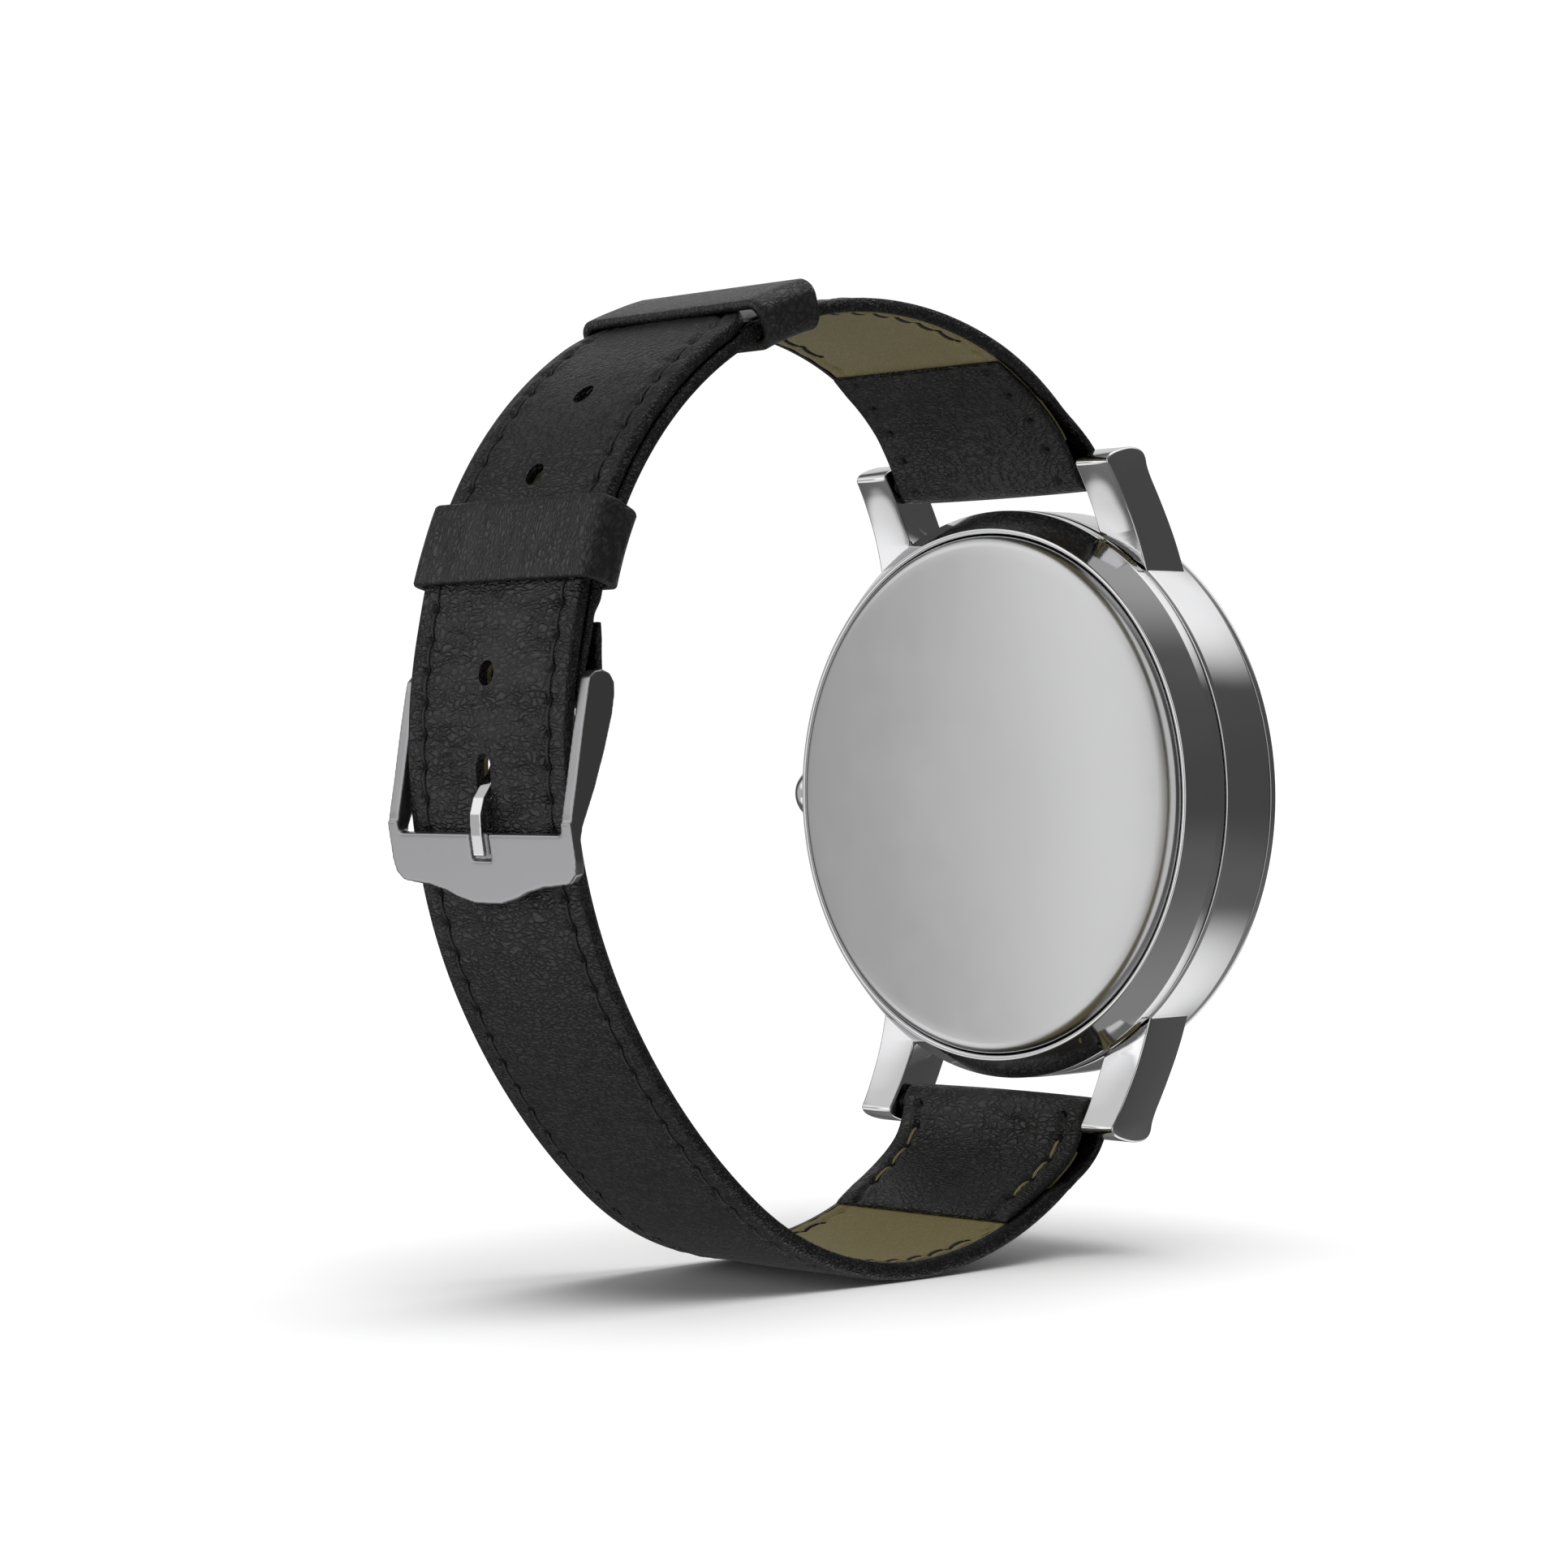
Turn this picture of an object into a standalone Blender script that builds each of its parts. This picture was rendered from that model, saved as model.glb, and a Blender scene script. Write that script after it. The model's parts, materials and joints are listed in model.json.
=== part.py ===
"""Hybrid smartwatch with analogue hands on a buckled leather strap.

Frame: metres, +Z towards 12 o'clock, the dial faces -Y, the crown points to +X and the strap
loop closes on the +Y side. The origin is the centre of the case back's outer face.
Every size below is in millimetres, and the finished objects are scaled to metres at the end.
Side outlines are (y, z) points, front outlines are (x, z) points, and turned profiles are
(radius, position along the axis) points.
"""

from math import asin, atan2, cos, pi, radians, sin, sqrt

import bmesh
import bpy
from mathutils import Matrix, Vector

MM = 0.001

# Sides of the large round pieces
ROUND_STEPS = 48

# Gaps: between thin layers, and round a running shaft
LAYER = 0.05
RUN = 0.05

# Case, as depths along Y from the back's outer face
CASE_R = 22.35
BACK_R = 20.3
BACK_FLAT_R = 9.0
BACK_RIM_Y = -0.9
BEVEL_END_Y = -2.8
BODY_BACK_Y = -4.0
BODY_FRONT_Y = -9.1
CRYSTAL_Y = -10.55
BORE_R = 19.3
COUNTERBORE_R = 20.9

# Lugs and spring bars
LUG_IN_X = 10.3
LUG_OUT_X = 13.6
LUG_ROOT_R = 21.55
LUG_TIP_Z = 26.6
LUG_FLARE = 0.085
LUG_BAR = (-2.7, 24.8)
BAR_R = 0.75
PIN_R = 0.4
LUG_BAR_HALF = 9.6

# Strap: its route is made of tangent arcs, and the keeper slides on the arc round KEEPER_AXIS
STRAP_W = 20.0
STRAP_END_W = 17.6
STRAP_T = 1.0
LEATHER_T = 0.6
KEEPER_AXIS = (18.45, 7.9)
SHORT_R = 28.25
LONG_R = SHORT_R + STRAP_T + 0.15
LONG_ARCS = ((3.0, 120.0), (26.5, 38.5), (19.0, 49.0), (19.5, 24.8), (16.0, 27.4))
SHORT_TURN = 113.0
LEAVE_ANGLE = 13.0
TIP_ANGLE = 70.0
TIP_ROUND = 6.0
SHORT_TAPER = 27.0
LONG_TAPER = 70.0
PATCH_LENGTH = 12.6
PADDING = 0.3
LOOP_R = 1.5
LOOP_EXTRA = LOOP_R - STRAP_T / 2 - LAYER - LEATHER_T
HOLE_R = 0.8
HOLE_PITCH = 7.3
TONGUE_HOLE_Z = 1.7
KEEPER_R = (26.9, 27.65, 30.0, 30.7)
KEEPER_HALF_IN = 9.2
KEEPER_HALF_OUT = 9.9
TONGUE_HOLE_REACH = 1.0

# Buckle
AXLE_BAR_R = 0.55
AXLE_RISE = 0.5
AXLE_LOOP_R = 1.22
FLAP_LENGTH = 5.0
FLAP_EXTRA = 2 * AXLE_LOOP_R - AXLE_RISE - STRAP_T - LAYER - LEATHER_T
ARM_IN_X = 9.05
ARM_OUT_X = 10.2
AXLE_BAR_HALF = 8.75
BUCKLE_PIN_END = 9.8
BAR_Y = (48.85, 49.65)
BAR_LEAN = radians(-10)
NOTCH_Y = 49.2
TANG_HALF_W = 0.6
TANG_HALF_T = 0.3

# Crown, on the X axis through the middle of the case wall
CROWN_Y = -6.1
CROWN_R = 2.25
CROWN_END_X = 25.8

# Gear train: positions on the plate as (x, z), one module for every pair
MODULE = 0.2
CENTRE = (0.0, 0.0)
MOTION_POS = (4.0 * cos(radians(150)), 4.0 * sin(radians(150)))
STEP_POS = (4.8 * cos(radians(60)), 4.8 * sin(radians(60)))
ROTOR_POS = (STEP_POS[0] + 4.2 * cos(radians(75)), STEP_POS[1] + 4.2 * sin(radians(75)))
ACTIVITY_POS = (0.0, -9.5)
STEP_LEVEL = (-5.32, -5.1)
CENTRE_LEVEL = (-5.75, -5.5)
MOTION_LEVEL = (-6.15, -5.9)
HOUR_LEVEL = (-6.55, -6.3)
PLATE_Y = (-7.2, -6.8)
BRIDGE_Y = (-4.95, -4.75)
BOARD_Y = (-4.6, -4.15)
DIAL_Y = (-7.9, -7.5)
BUZZER = (-2.7, -11.5)

# Colour, roughness and metallic value of each finish
FINISHES = {
    "polished_steel": ((0.62, 0.62, 0.63), 0.12, 1.0),
    "satin_steel": ((0.52, 0.52, 0.53), 0.34, 1.0),
    "black_leather": ((0.014, 0.014, 0.014), 0.55, 0.0),
    "olive_lining": ((0.155, 0.13, 0.06), 0.8, 0.0),
    "crystal": ((0.92, 0.95, 0.96), 0.03, 0.0),
    "rubber": ((0.02, 0.02, 0.02), 0.7, 0.0),
    "white_dial": ((0.82, 0.82, 0.8), 0.45, 0.0),
    "brass": ((0.75, 0.58, 0.28), 0.3, 1.0),
    "copper": ((0.72, 0.35, 0.16), 0.35, 1.0),
    "dark_alloy": ((0.12, 0.12, 0.13), 0.45, 1.0),
    "holder_plastic": ((0.06, 0.06, 0.065), 0.5, 0.0),
    "green_board": ((0.02, 0.16, 0.07), 0.4, 0.0),
}


# ---------------------------------------------------------------- helpers

def clear_scene():
    for item in list(bpy.data.objects):
        bpy.data.objects.remove(item, do_unlink=True)


def finish_material(name, finish):
    colour, roughness, metallic = FINISHES[finish]
    material = bpy.data.materials.new(name + "_finish")
    material.use_nodes = True
    shader = material.node_tree.nodes["Principled BSDF"]
    shader.inputs["Base Color"].default_value = (*colour, 1.0)
    shader.inputs["Roughness"].default_value = roughness
    shader.inputs["Metallic"].default_value = metallic
    if finish == "crystal":
        shader.inputs["Transmission Weight"].default_value = 1.0
    return material


def to_object(name, bm, finish, origin=(0, 0, 0)):
    """Turn a bmesh in world place into an object whose origin is at origin."""
    bmesh.ops.recalc_face_normals(bm, faces=bm.faces)
    if bm.calc_volume(signed=True) < 0:
        bmesh.ops.reverse_faces(bm, faces=bm.faces)
    bmesh.ops.transform(bm, matrix=Matrix.Translation(-Vector(origin)), verts=bm.verts)
    mesh = bpy.data.meshes.new(name)
    bm.to_mesh(mesh)
    bm.free()
    mesh.shade_smooth()
    mesh.set_sharp_from_angle(angle=radians(35))
    mesh.materials.append(finish_material(name, finish))
    item = bpy.data.objects.new(name, mesh)
    item.location = origin
    bpy.context.collection.objects.link(item)
    return item


def placed(point, depth, axis):
    """A 3-D point from a flat outline point and its depth along the axis X or Y."""
    return (depth, *point) if axis == "X" else (point[0], depth, point[1])


def plate_bm(loops, axis, low, high):
    """A flat plate: the first loop is its outline, the others are holes through it."""
    bm = bmesh.new()
    for loop in loops:
        verts = [bm.verts.new(placed(point, low, axis)) for point in loop]
        for first, second in zip(verts, verts[1:] + verts[:1]):
            bm.edges.new((first, second))
    bmesh.ops.triangle_fill(bm, edges=list(bm.edges), use_beauty=True)
    top = bmesh.ops.extrude_face_region(bm, geom=list(bm.faces))["geom"]
    lift = (high - low, 0, 0) if axis == "X" else (0, high - low, 0)
    moved = [item for item in top if isinstance(item, bmesh.types.BMVert)]
    bmesh.ops.translate(bm, vec=lift, verts=moved)
    return bm


def plate(name, loops, axis, low, high, finish, origin=(0, 0, 0)):
    return to_object(name, plate_bm(loops, axis, low, high), finish, origin)


def turned_bm(profile, centre=(0, 0, 0), axis="Y", steps=32):
    """Spin a closed profile round the axis; a profile that starts and ends on it stays open."""
    bm = bmesh.new()
    verts = [bm.verts.new(placed((radius, 0.0), along, axis)) for radius, along in profile]
    pairs = list(zip(verts, verts[1:]))
    if profile[0][0] > 0 or profile[-1][0] > 0:
        pairs.append((verts[-1], verts[0]))
    for pair in pairs:
        bm.edges.new(pair)
    turn = (1, 0, 0) if axis == "X" else (0, 1, 0)
    bmesh.ops.spin(bm, geom=list(bm.verts) + list(bm.edges), cent=(0, 0, 0), axis=turn,
                   angle=2 * pi, steps=steps, use_merge=True)
    bmesh.ops.remove_doubles(bm, verts=bm.verts, dist=0.0001)
    bmesh.ops.translate(bm, vec=centre, verts=bm.verts)
    return bm


def turned(name, profile, finish, centre=(0, 0, 0), axis="Y", steps=32):
    return to_object(name, turned_bm(profile, centre, axis, steps), finish, centre)


def tube_profile(inner, outer, low, high):
    return [(inner, low), (outer, low), (outer, high), (inner, high)]


def rod_profile(radius, low, high):
    return [(0, low), (radius, low), (radius, high), (0, high)]


def combine(item, tool, operation):
    """Apply a Boolean of tool on item, then remove tool."""
    modifier = item.modifiers.new(operation, "BOOLEAN")
    modifier.operation = operation
    modifier.solver = "EXACT"
    modifier.object = tool
    bpy.context.view_layer.update()
    evaluated = item.evaluated_get(bpy.context.evaluated_depsgraph_get())
    mesh = bpy.data.meshes.new_from_object(evaluated)
    item.modifiers.clear()
    item.data = mesh
    mesh.name = item.name
    bpy.data.objects.remove(tool, do_unlink=True)


def circle(radius, centre=(0.0, 0.0), count=24, phase=0.0):
    return [(centre[0] + radius * cos(phase + 2 * pi * step / count),
             centre[1] + radius * sin(phase + 2 * pi * step / count)) for step in range(count)]


def rounded_rectangle(half_a, low_b, high_b, corner, count=5):
    """Corners of a rectangle -half_a..half_a by low_b..high_b, each rounded in count points."""
    points = []
    centres = ((half_a - corner, high_b - corner), (corner - half_a, high_b - corner),
               (corner - half_a, low_b + corner), (half_a - corner, low_b + corner))
    for quarter, (a, b) in enumerate(centres):
        for step in range(count):
            angle = pi / 2 * (quarter + step / (count - 1))
            points.append((a + corner * cos(angle), b + corner * sin(angle)))
    return points


def gear_outline(teeth, centre, phase):
    """Straight-flanked teeth with backlash; a tooth is centred on the angle phase."""
    root = MODULE * (teeth / 2 - 1.2)
    tip = MODULE * (teeth / 2 + 0.85)
    pitch = 2 * pi / teeth
    points = []
    for tooth in range(teeth):
        middle = phase + tooth * pitch
        for radius, share in ((root, -0.31), (tip, -0.12), (tip, 0.12), (root, 0.31)):
            angle = middle + share * pitch
            points.append((centre[0] + radius * cos(angle), centre[1] + radius * sin(angle)))
    return points


def facing(first, second):
    """Angle of the line from one train position to another."""
    return atan2(second[1] - first[1], second[0] - first[0])


def box_bm(low, high):
    """An upright box between two corners."""
    low, high = Vector(low), Vector(high)
    bm = bmesh.new()
    bmesh.ops.create_cube(bm, size=1.0)
    bmesh.ops.scale(bm, vec=high - low, verts=bm.verts)
    bmesh.ops.translate(bm, vec=(low + high) / 2, verts=bm.verts)
    return bm


# ---------------------------------------------------------------- case

def build_case_back():
    turned("case_back", [
        (0, 0), (BACK_FLAT_R, 0), (14.0, -0.1), (17.4, -0.26), (19.0, -0.44), (19.75, -0.68),
        (BACK_R, -1.0), (BACK_R, -1.35), (18.55, -1.35), (18.55, -3.6), (17.85, -3.6),
        (17.85, -1.0), (0, -1.0)], "satin_steel", steps=ROUND_STEPS)
    turned("back_gasket", tube_profile(19.2, 20.0, -1.68, -1.42), "rubber")


def build_back_ring():
    turned("back_ring", [
        (20.5, BACK_RIM_Y), (20.8, BACK_RIM_Y), (22.3, BEVEL_END_Y), (22.3, -3.7),
        (20.6, -3.7), (20.6, -5.1), (19.1, -5.1), (19.1, -1.75), (20.4, -1.75), (20.4, -1.05)],
        "polished_steel", steps=ROUND_STEPS)


def lug_outline():
    """Side outline of the upper lugs, from inside the case wall to the rounded tip."""
    return [(-4.4, 15.5), (-3.9, 17.8), (-2.95, 20.7), (-1.6, 23.4), (-0.75, 24.9), (-0.5, 25.4),
            (-0.7, 25.8), (-1.6, 26.25), (-2.9, 26.45), (-3.9, 26.4), (-4.35, 26.1), (-4.55, 25.5),
            (-6.25, 22.6), (-7.6, 19.7), (-8.4, 17.2), (-8.9, 15.5)]


def lug_solid(side, end):
    """One lug: side is -1 or 1 along X, end is 1 for 12 o'clock and -1 for 6 o'clock."""
    outline = [(y, z * end) for y, z in lug_outline()]
    low, high = sorted((side * LUG_IN_X, side * LUG_OUT_X))
    bm = plate_bm([outline], "X", low, high)
    bmesh.ops.recalc_face_normals(bm, faces=bm.faces)
    rims = [edge for edge in bm.edges if abs(edge.verts[0].co.x - edge.verts[1].co.x) < 1e-6
            and len({round(face.normal.x) for face in edge.link_faces}) > 1]
    bmesh.ops.bevel(bm, geom=rims, offset=0.22, segments=1, affect="EDGES")
    for vert in bm.verts:
        if abs(vert.co.x) > (LUG_IN_X + LUG_OUT_X) / 2:
            vert.co.x += side * LUG_FLARE * (LUG_TIP_Z - abs(vert.co.z))
    return to_object("lug", bm, "polished_steel")


def build_mid_case():
    body = turned("mid_case", [
        (COUNTERBORE_R, BODY_BACK_Y), (CASE_R - 0.3, BODY_BACK_Y),
        (CASE_R - 0.08, BODY_BACK_Y - 0.1), (CASE_R, BODY_BACK_Y - 0.35),
        (CASE_R, BODY_FRONT_Y + 0.3), (CASE_R - 0.3, BODY_FRONT_Y), (COUNTERBORE_R, BODY_FRONT_Y),
        (COUNTERBORE_R, -8.0), (BORE_R, -8.0), (BORE_R, -5.3), (COUNTERBORE_R, -5.3)],
        "polished_steel", steps=ROUND_STEPS)
    core_profile = [(0, -12.0), (LUG_ROOT_R, -12.0), (LUG_ROOT_R, -3.85), (CASE_R + 0.15, -3.85),
                    (CASE_R + 0.15, 4.0), (0, 4.0)]
    for side in (-1, 1):
        for end in (-1, 1):
            lug = lug_solid(side, end)
            core = turned("core", core_profile, "polished_steel", steps=ROUND_STEPS)
            combine(lug, core, "DIFFERENCE")
            combine(body, lug, "UNION")
            low, high = sorted((side * (LUG_IN_X - 1), side * (LUG_IN_X + 1.7)))
            hole = turned("hole", rod_profile(PIN_R + 0.1, low, high), "polished_steel",
                          (0, LUG_BAR[0], end * LUG_BAR[1]), "X", 16)
            combine(body, hole, "DIFFERENCE")
    crown_hole = turned("hole", rod_profile(1.0, 17.0, 24.0), "polished_steel",
                        (0, CROWN_Y, 0), "X", 24)
    combine(body, crown_hole, "DIFFERENCE")


def build_front():
    turned("bezel", [
        (20.6, -8.15), (20.6, -9.2), (22.05, -9.2), (22.25, -9.4), (22.25, -9.6),
        (21.0, -10.4), (20.0, -10.4), (20.0, -9.25), (18.9, -9.25), (18.9, -8.15)],
        "polished_steel", steps=ROUND_STEPS)
    turned("crystal", [
        (0, -9.35), (19.3, -9.35), (19.3, -10.3), (19.0, CRYSTAL_Y), (0, CRYSTAL_Y)],
        "crystal", steps=ROUND_STEPS)
    turned("crystal_gasket", tube_profile(19.42, 19.88, -10.2, -9.35), "rubber")
    turned("minute_flange", [
        (18.6, -9.15), (18.6, -7.97), (17.0, -7.97), (17.0, -8.15), (18.2, -9.15)],
        "satin_steel")


# ---------------------------------------------------------------- crown and its switch

def build_crown():
    centre = (0, CROWN_Y, 0)
    turned("crown_tube", tube_profile(0.5, 0.9, 19.5, 23.75), "satin_steel", centre, "X", 24)
    turned("crown", [
        (0, CROWN_END_X), (CROWN_R - 0.3, CROWN_END_X), (CROWN_R, CROWN_END_X - 0.3),
        (CROWN_R, 23.5), (CROWN_R - 0.2, 23.3), (1.25, 23.3), (1.25, 24.5), (0.45, 24.5),
        (0.45, 25.2), (0, 25.2)], "polished_steel", centre, "X", 40)
    turned("crown_seal", tube_profile(0.95, 1.2, 23.35, 23.65), "rubber", centre, "X", 24)
    turned("crown_stem", rod_profile(PIN_R, 16.1, 25.1), "satin_steel", centre, "X", 16)
    turned("crown_plunger", [
        (0, 15.2), (0.65, 15.2), (0.65, 17.0), (0.45, 17.0), (0.45, 16.0), (0, 16.0)],
        "holder_plastic", centre, "X", 16)
    to_object("push_switch", box_bm((12.6, -6.7, -1.6), (14.5, -5.2, 1.6)), "dark_alloy")


# ---------------------------------------------------------------- dial and hands

def build_dial():
    loops = [circle(18.9, count=ROUND_STEPS), circle(0.95), circle(0.4, ACTIVITY_POS, 12)]
    plate("dial", loops, "Y", *DIAL_Y, "white_dial")
    face = DIAL_Y[0] - LAYER
    markers = turned("hour_markers", tube_profile(16.1, 16.5, face - 0.12, face),
                     "polished_steel", steps=ROUND_STEPS)
    for hour in [*range(6), *range(7, 12)]:
        inner = 13.4 if hour % 3 == 0 else 14.4
        baton = box_bm((-0.35, face - 0.22, inner), (0.35, face - 0.04, 16.3))
        turn = Matrix.Rotation(radians(30 * hour), 4, "Y")
        bmesh.ops.transform(baton, matrix=turn, verts=baton.verts)
        combine(markers, to_object("baton", baton, "polished_steel"), "UNION")
    ring = [circle(4.5, ACTIVITY_POS, 40), circle(4.2, ACTIVITY_POS, 40)]
    plate("activity_ring", ring, "Y", face - 0.1, face, "polished_steel")


def hand_outline(centre, angle, length, tail, root, tip, hub):
    """A tapering hand with a round hub; angle is clockwise from 12 o'clock, in degrees."""
    points = [(root / 2, hub), (tip / 2, length), (-tip / 2, length), (-root / 2, hub)]
    around = asin(root / 2 / hub)
    for step in range(1, 8):
        bend = pi / 2 + around + (pi - 2 * around) * step / 8
        points.append((hub * cos(bend), hub * sin(bend)))
    points += [(-root / 2, -hub), (-root / 2, -tail), (root / 2, -tail), (root / 2, -hub)]
    for step in range(1, 8):
        bend = -pi / 2 + around + (pi - 2 * around) * step / 8
        points.append((hub * cos(bend), hub * sin(bend)))
    turn = radians(angle)
    return [(centre[0] + x * cos(turn) + z * sin(turn), centre[1] - x * sin(turn) + z * cos(turn))
            for x, z in points]


def build_hands():
    hour = hand_outline(CENTRE, 305, 10.2, 2.2, 1.0, 0.55, 1.25)
    plate("hour_hand", [hour, circle(0.82, count=16)], "Y", -8.45, -8.3, "polished_steel")
    minute = hand_outline(CENTRE, 60, 15.4, 2.8, 0.85, 0.4, 1.0)
    plate("minute_hand", [minute, circle(0.4, count=16)], "Y", -8.85, -8.7, "polished_steel")
    activity = hand_outline(ACTIVITY_POS, -60, 3.6, 1.0, 0.4, 0.25, 0.6)
    plate("activity_hand", [activity, circle(0.3, ACTIVITY_POS, 12)], "Y", -8.15, -8.02,
          "copper", (ACTIVITY_POS[0], 0, ACTIVITY_POS[1]))


# ---------------------------------------------------------------- gear train and motor

def wheel(name, centre, gears, shafts, finish):
    """Gears (teeth, level, phase) and shafts (radius, low, high) of one arbor, as one solid."""
    origin = (centre[0], 0, centre[1])
    low = min(shaft[1] for shaft in shafts)
    high = max(shaft[2] for shaft in shafts)
    profile = [(0, low)]
    for radius, start, stop in sorted(shafts, key=lambda shaft: shaft[1]):
        profile += [(radius, start), (radius, stop)]
    profile.append((0, high))
    item = turned(name, profile, finish, origin, "Y", 16)
    for teeth, level, phase in gears:
        tool = plate(name + "_gear", [gear_outline(teeth, centre, phase)], "Y", *level, finish)
        combine(item, tool, "UNION")
    return item


def build_train():
    to_motion = facing(CENTRE, MOTION_POS)
    to_step = facing(CENTRE, STEP_POS)
    to_rotor = facing(STEP_POS, ROTOR_POS)
    wheel("centre_wheel", CENTRE, [(40, CENTRE_LEVEL, to_step), (10, MOTION_LEVEL, to_motion)],
          [(0.5, -6.25, -5.4), (0.35, -9.05, -6.25), (0.25, -5.4, -4.8)], "brass")
    wheel("motion_wheel", MOTION_POS,
          [(30, MOTION_LEVEL, to_motion + pi + pi / 30), (8, HOUR_LEVEL, to_motion + pi)],
          [(0.4, -6.65, -5.8), (0.25, -7.1, -6.65)], "brass")
    wheel("step_wheel", STEP_POS,
          [(8, CENTRE_LEVEL, to_step + pi + pi / 8), (36, STEP_LEVEL, to_rotor)],
          [(0.4, -5.85, -5.05), (0.25, -7.1, -5.85), (0.25, -5.05, -4.8)], "brass")
    wheel("rotor", ROTOR_POS, [(6, STEP_LEVEL, to_rotor + pi + pi / 6)],
          [(0.3, -5.5, -5.05), (0.95, -6.3, -5.5), (0.25, -7.1, -6.3), (0.25, -5.05, -4.8)],
          "dark_alloy")
    hour = plate_bm([gear_outline(32, CENTRE, to_motion + pi / 32), circle(0.42, count=16)],
                    "Y", *HOUR_LEVEL)
    item = to_object("hour_wheel", hour, "brass")
    pipe = turned("pipe", tube_profile(0.42, 0.75, -8.5, -6.4), "brass", steps=16)
    combine(item, pipe, "UNION")


def build_motor():
    rotor_x, rotor_z = ROTOR_POS
    bar_z = 12.2
    outline = [(rotor_x - 5.8, bar_z + 0.35), (rotor_x + 5.8, bar_z + 0.35),
               (rotor_x + 5.8, bar_z - 0.5), (rotor_x + 2.1, rotor_z - 1.0),
               (rotor_x + 1.0, rotor_z - 2.0), (rotor_x - 1.0, rotor_z - 2.0),
               (rotor_x - 2.1, rotor_z - 1.0), (rotor_x - 5.8, bar_z - 0.5)]
    window = [(rotor_x - 4.4, bar_z - 0.35), (rotor_x - 4.4, bar_z - 1.0),
              (rotor_x - 2.2, rotor_z + 1.9), (rotor_x + 2.2, rotor_z + 1.9),
              (rotor_x + 4.4, bar_z - 1.0), (rotor_x + 4.4, bar_z - 0.35)]
    plate("stator", [outline, window, circle(1.15, ROTOR_POS)], "Y", -6.1, -5.7, "dark_alloy")
    turned("motor_coil", tube_profile(0.48, 0.8, rotor_x - 4.1, rotor_x + 4.1), "copper",
           (0, -5.9, bar_z), "X", 20)


def build_plates():
    pivots = [circle(0.25 + RUN, spot, 12) for spot in (MOTION_POS, STEP_POS, ROTOR_POS)]
    screws = [circle(0.5, spot, 12) for spot in screw_spots()]
    holes = [circle(0.95, count=16), circle(0.45, ACTIVITY_POS, 12)]
    plate("main_plate", [circle(16.6, count=ROUND_STEPS)] + holes + pivots + screws, "Y", *PLATE_Y, "brass")
    corners = [(-5.4, 5.6), (-4.6, 6.6), (6.2, 10.6), (9.3, 9.0), (9.3, 1.8), (7.4, 0.9), (-1.4, -1.4)]
    bridge_pivots = [circle(0.25 + RUN, spot, 12) for spot in (CENTRE, STEP_POS, ROTOR_POS)]
    bridge = plate("train_bridge", [corners] + bridge_pivots, "Y", *BRIDGE_Y, "satin_steel")
    for spot in ((-4.6, 5.7), (8.5, 8.0), (7.8, 1.9)):
        pillar = turned("pillar", rod_profile(0.45, PLATE_Y[1] + LAYER, BRIDGE_Y[1] - LAYER),
                        "satin_steel", (spot[0], 0, spot[1]), "Y", 12)
        combine(bridge, pillar, "UNION")


def screw_spots():
    """Where the three long screws hold the board and the plate in the holder."""
    return [(15.2 * cos(radians(angle)), 15.2 * sin(radians(angle))) for angle in (95, 200, 340)]


def build_screws():
    head = BOARD_Y[1] + LAYER
    profile = [(0, -7.1), (0.4, -7.1), (0.4, head), (0.85, head), (0.85, head + 0.5), (0, head + 0.5)]
    for number, (x, z) in enumerate(screw_spots(), 1):
        turned(f"plate_screw_{number}", profile, "satin_steel", (x, 0, z), "Y", 12)


# ---------------------------------------------------------------- electronics

def build_electronics():
    notch = [(16.4 * cos(radians(angle)), 16.4 * sin(radians(angle)))
             for angle in range(8, 353, 5)] + [(11.8, -2.0), (11.8, 2.0)]
    screws = [circle(0.5, spot, 12) for spot in screw_spots()]
    plate("circuit_board", [notch] + screws, "Y", *BOARD_Y, "green_board")
    shield = box_bm((6.6, -4.05, -8.2), (12.2, -2.9, -3.0))
    to_object("radio_shield", shield, "satin_steel")
    arc = [radians(angle) for angle in range(24, 79, 6)]
    strip = [(16.0 * cos(angle), 16.0 * sin(angle)) for angle in arc]
    strip += [(15.3 * cos(angle), 15.3 * sin(angle)) for angle in reversed(arc)]
    plate("antenna", [strip], "Y", -4.05, -3.2, "brass")
    cell = (-4.6, 4.4)
    turned("coin_cell", [
        (0, -3.9), (9.2, -3.9), (9.3, -3.75), (9.9, -3.4), (9.9, -1.6), (9.7, -1.4), (0, -1.4)],
        "satin_steel", (cell[0], 0, cell[1]), "Y", 48)
    bend = [radians(angle) for angle in range(-70, 21, 9)]
    clip = [(cell[0] + 10.35 * cos(angle), cell[1] + 10.35 * sin(angle)) for angle in bend]
    clip += [(cell[0] + 10.1 * cos(angle), cell[1] + 10.1 * sin(angle)) for angle in reversed(bend)]
    plate("cell_clip", [clip], "Y", -4.05, -1.5, "brass")
    turned("activity_motor", [
        (0, -5.1), (3.2, -5.1), (3.2, -6.7), (0.3, -6.7), (0.3, -7.95), (0.22, -7.95),
        (0.22, -8.2), (0, -8.2)], "dark_alloy", (ACTIVITY_POS[0], 0, ACTIVITY_POS[1]), "Y", 32)


def build_buzzer():
    centre = (0, *BUZZER)
    turned("vibration_motor", [
        (0, -6.0), (1.3, -6.0), (1.3, 0), (0.25, 0), (0.25, 2.9), (0, 2.9)],
        "satin_steel", centre, "X", 24)
    half = [(BUZZER[0] + 1.15 * cos(radians(angle)), BUZZER[1] + 1.15 * sin(radians(angle)))
            for angle in range(180, 361, 20)]
    half += [(BUZZER[0] + 0.6, BUZZER[1] + 0.45), (BUZZER[0] - 0.6, BUZZER[1] + 0.45)]
    plate("vibration_weight", [half, circle(0.3, BUZZER, 12)], "X", 0.3, 2.7, "dark_alloy", centre)


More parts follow.
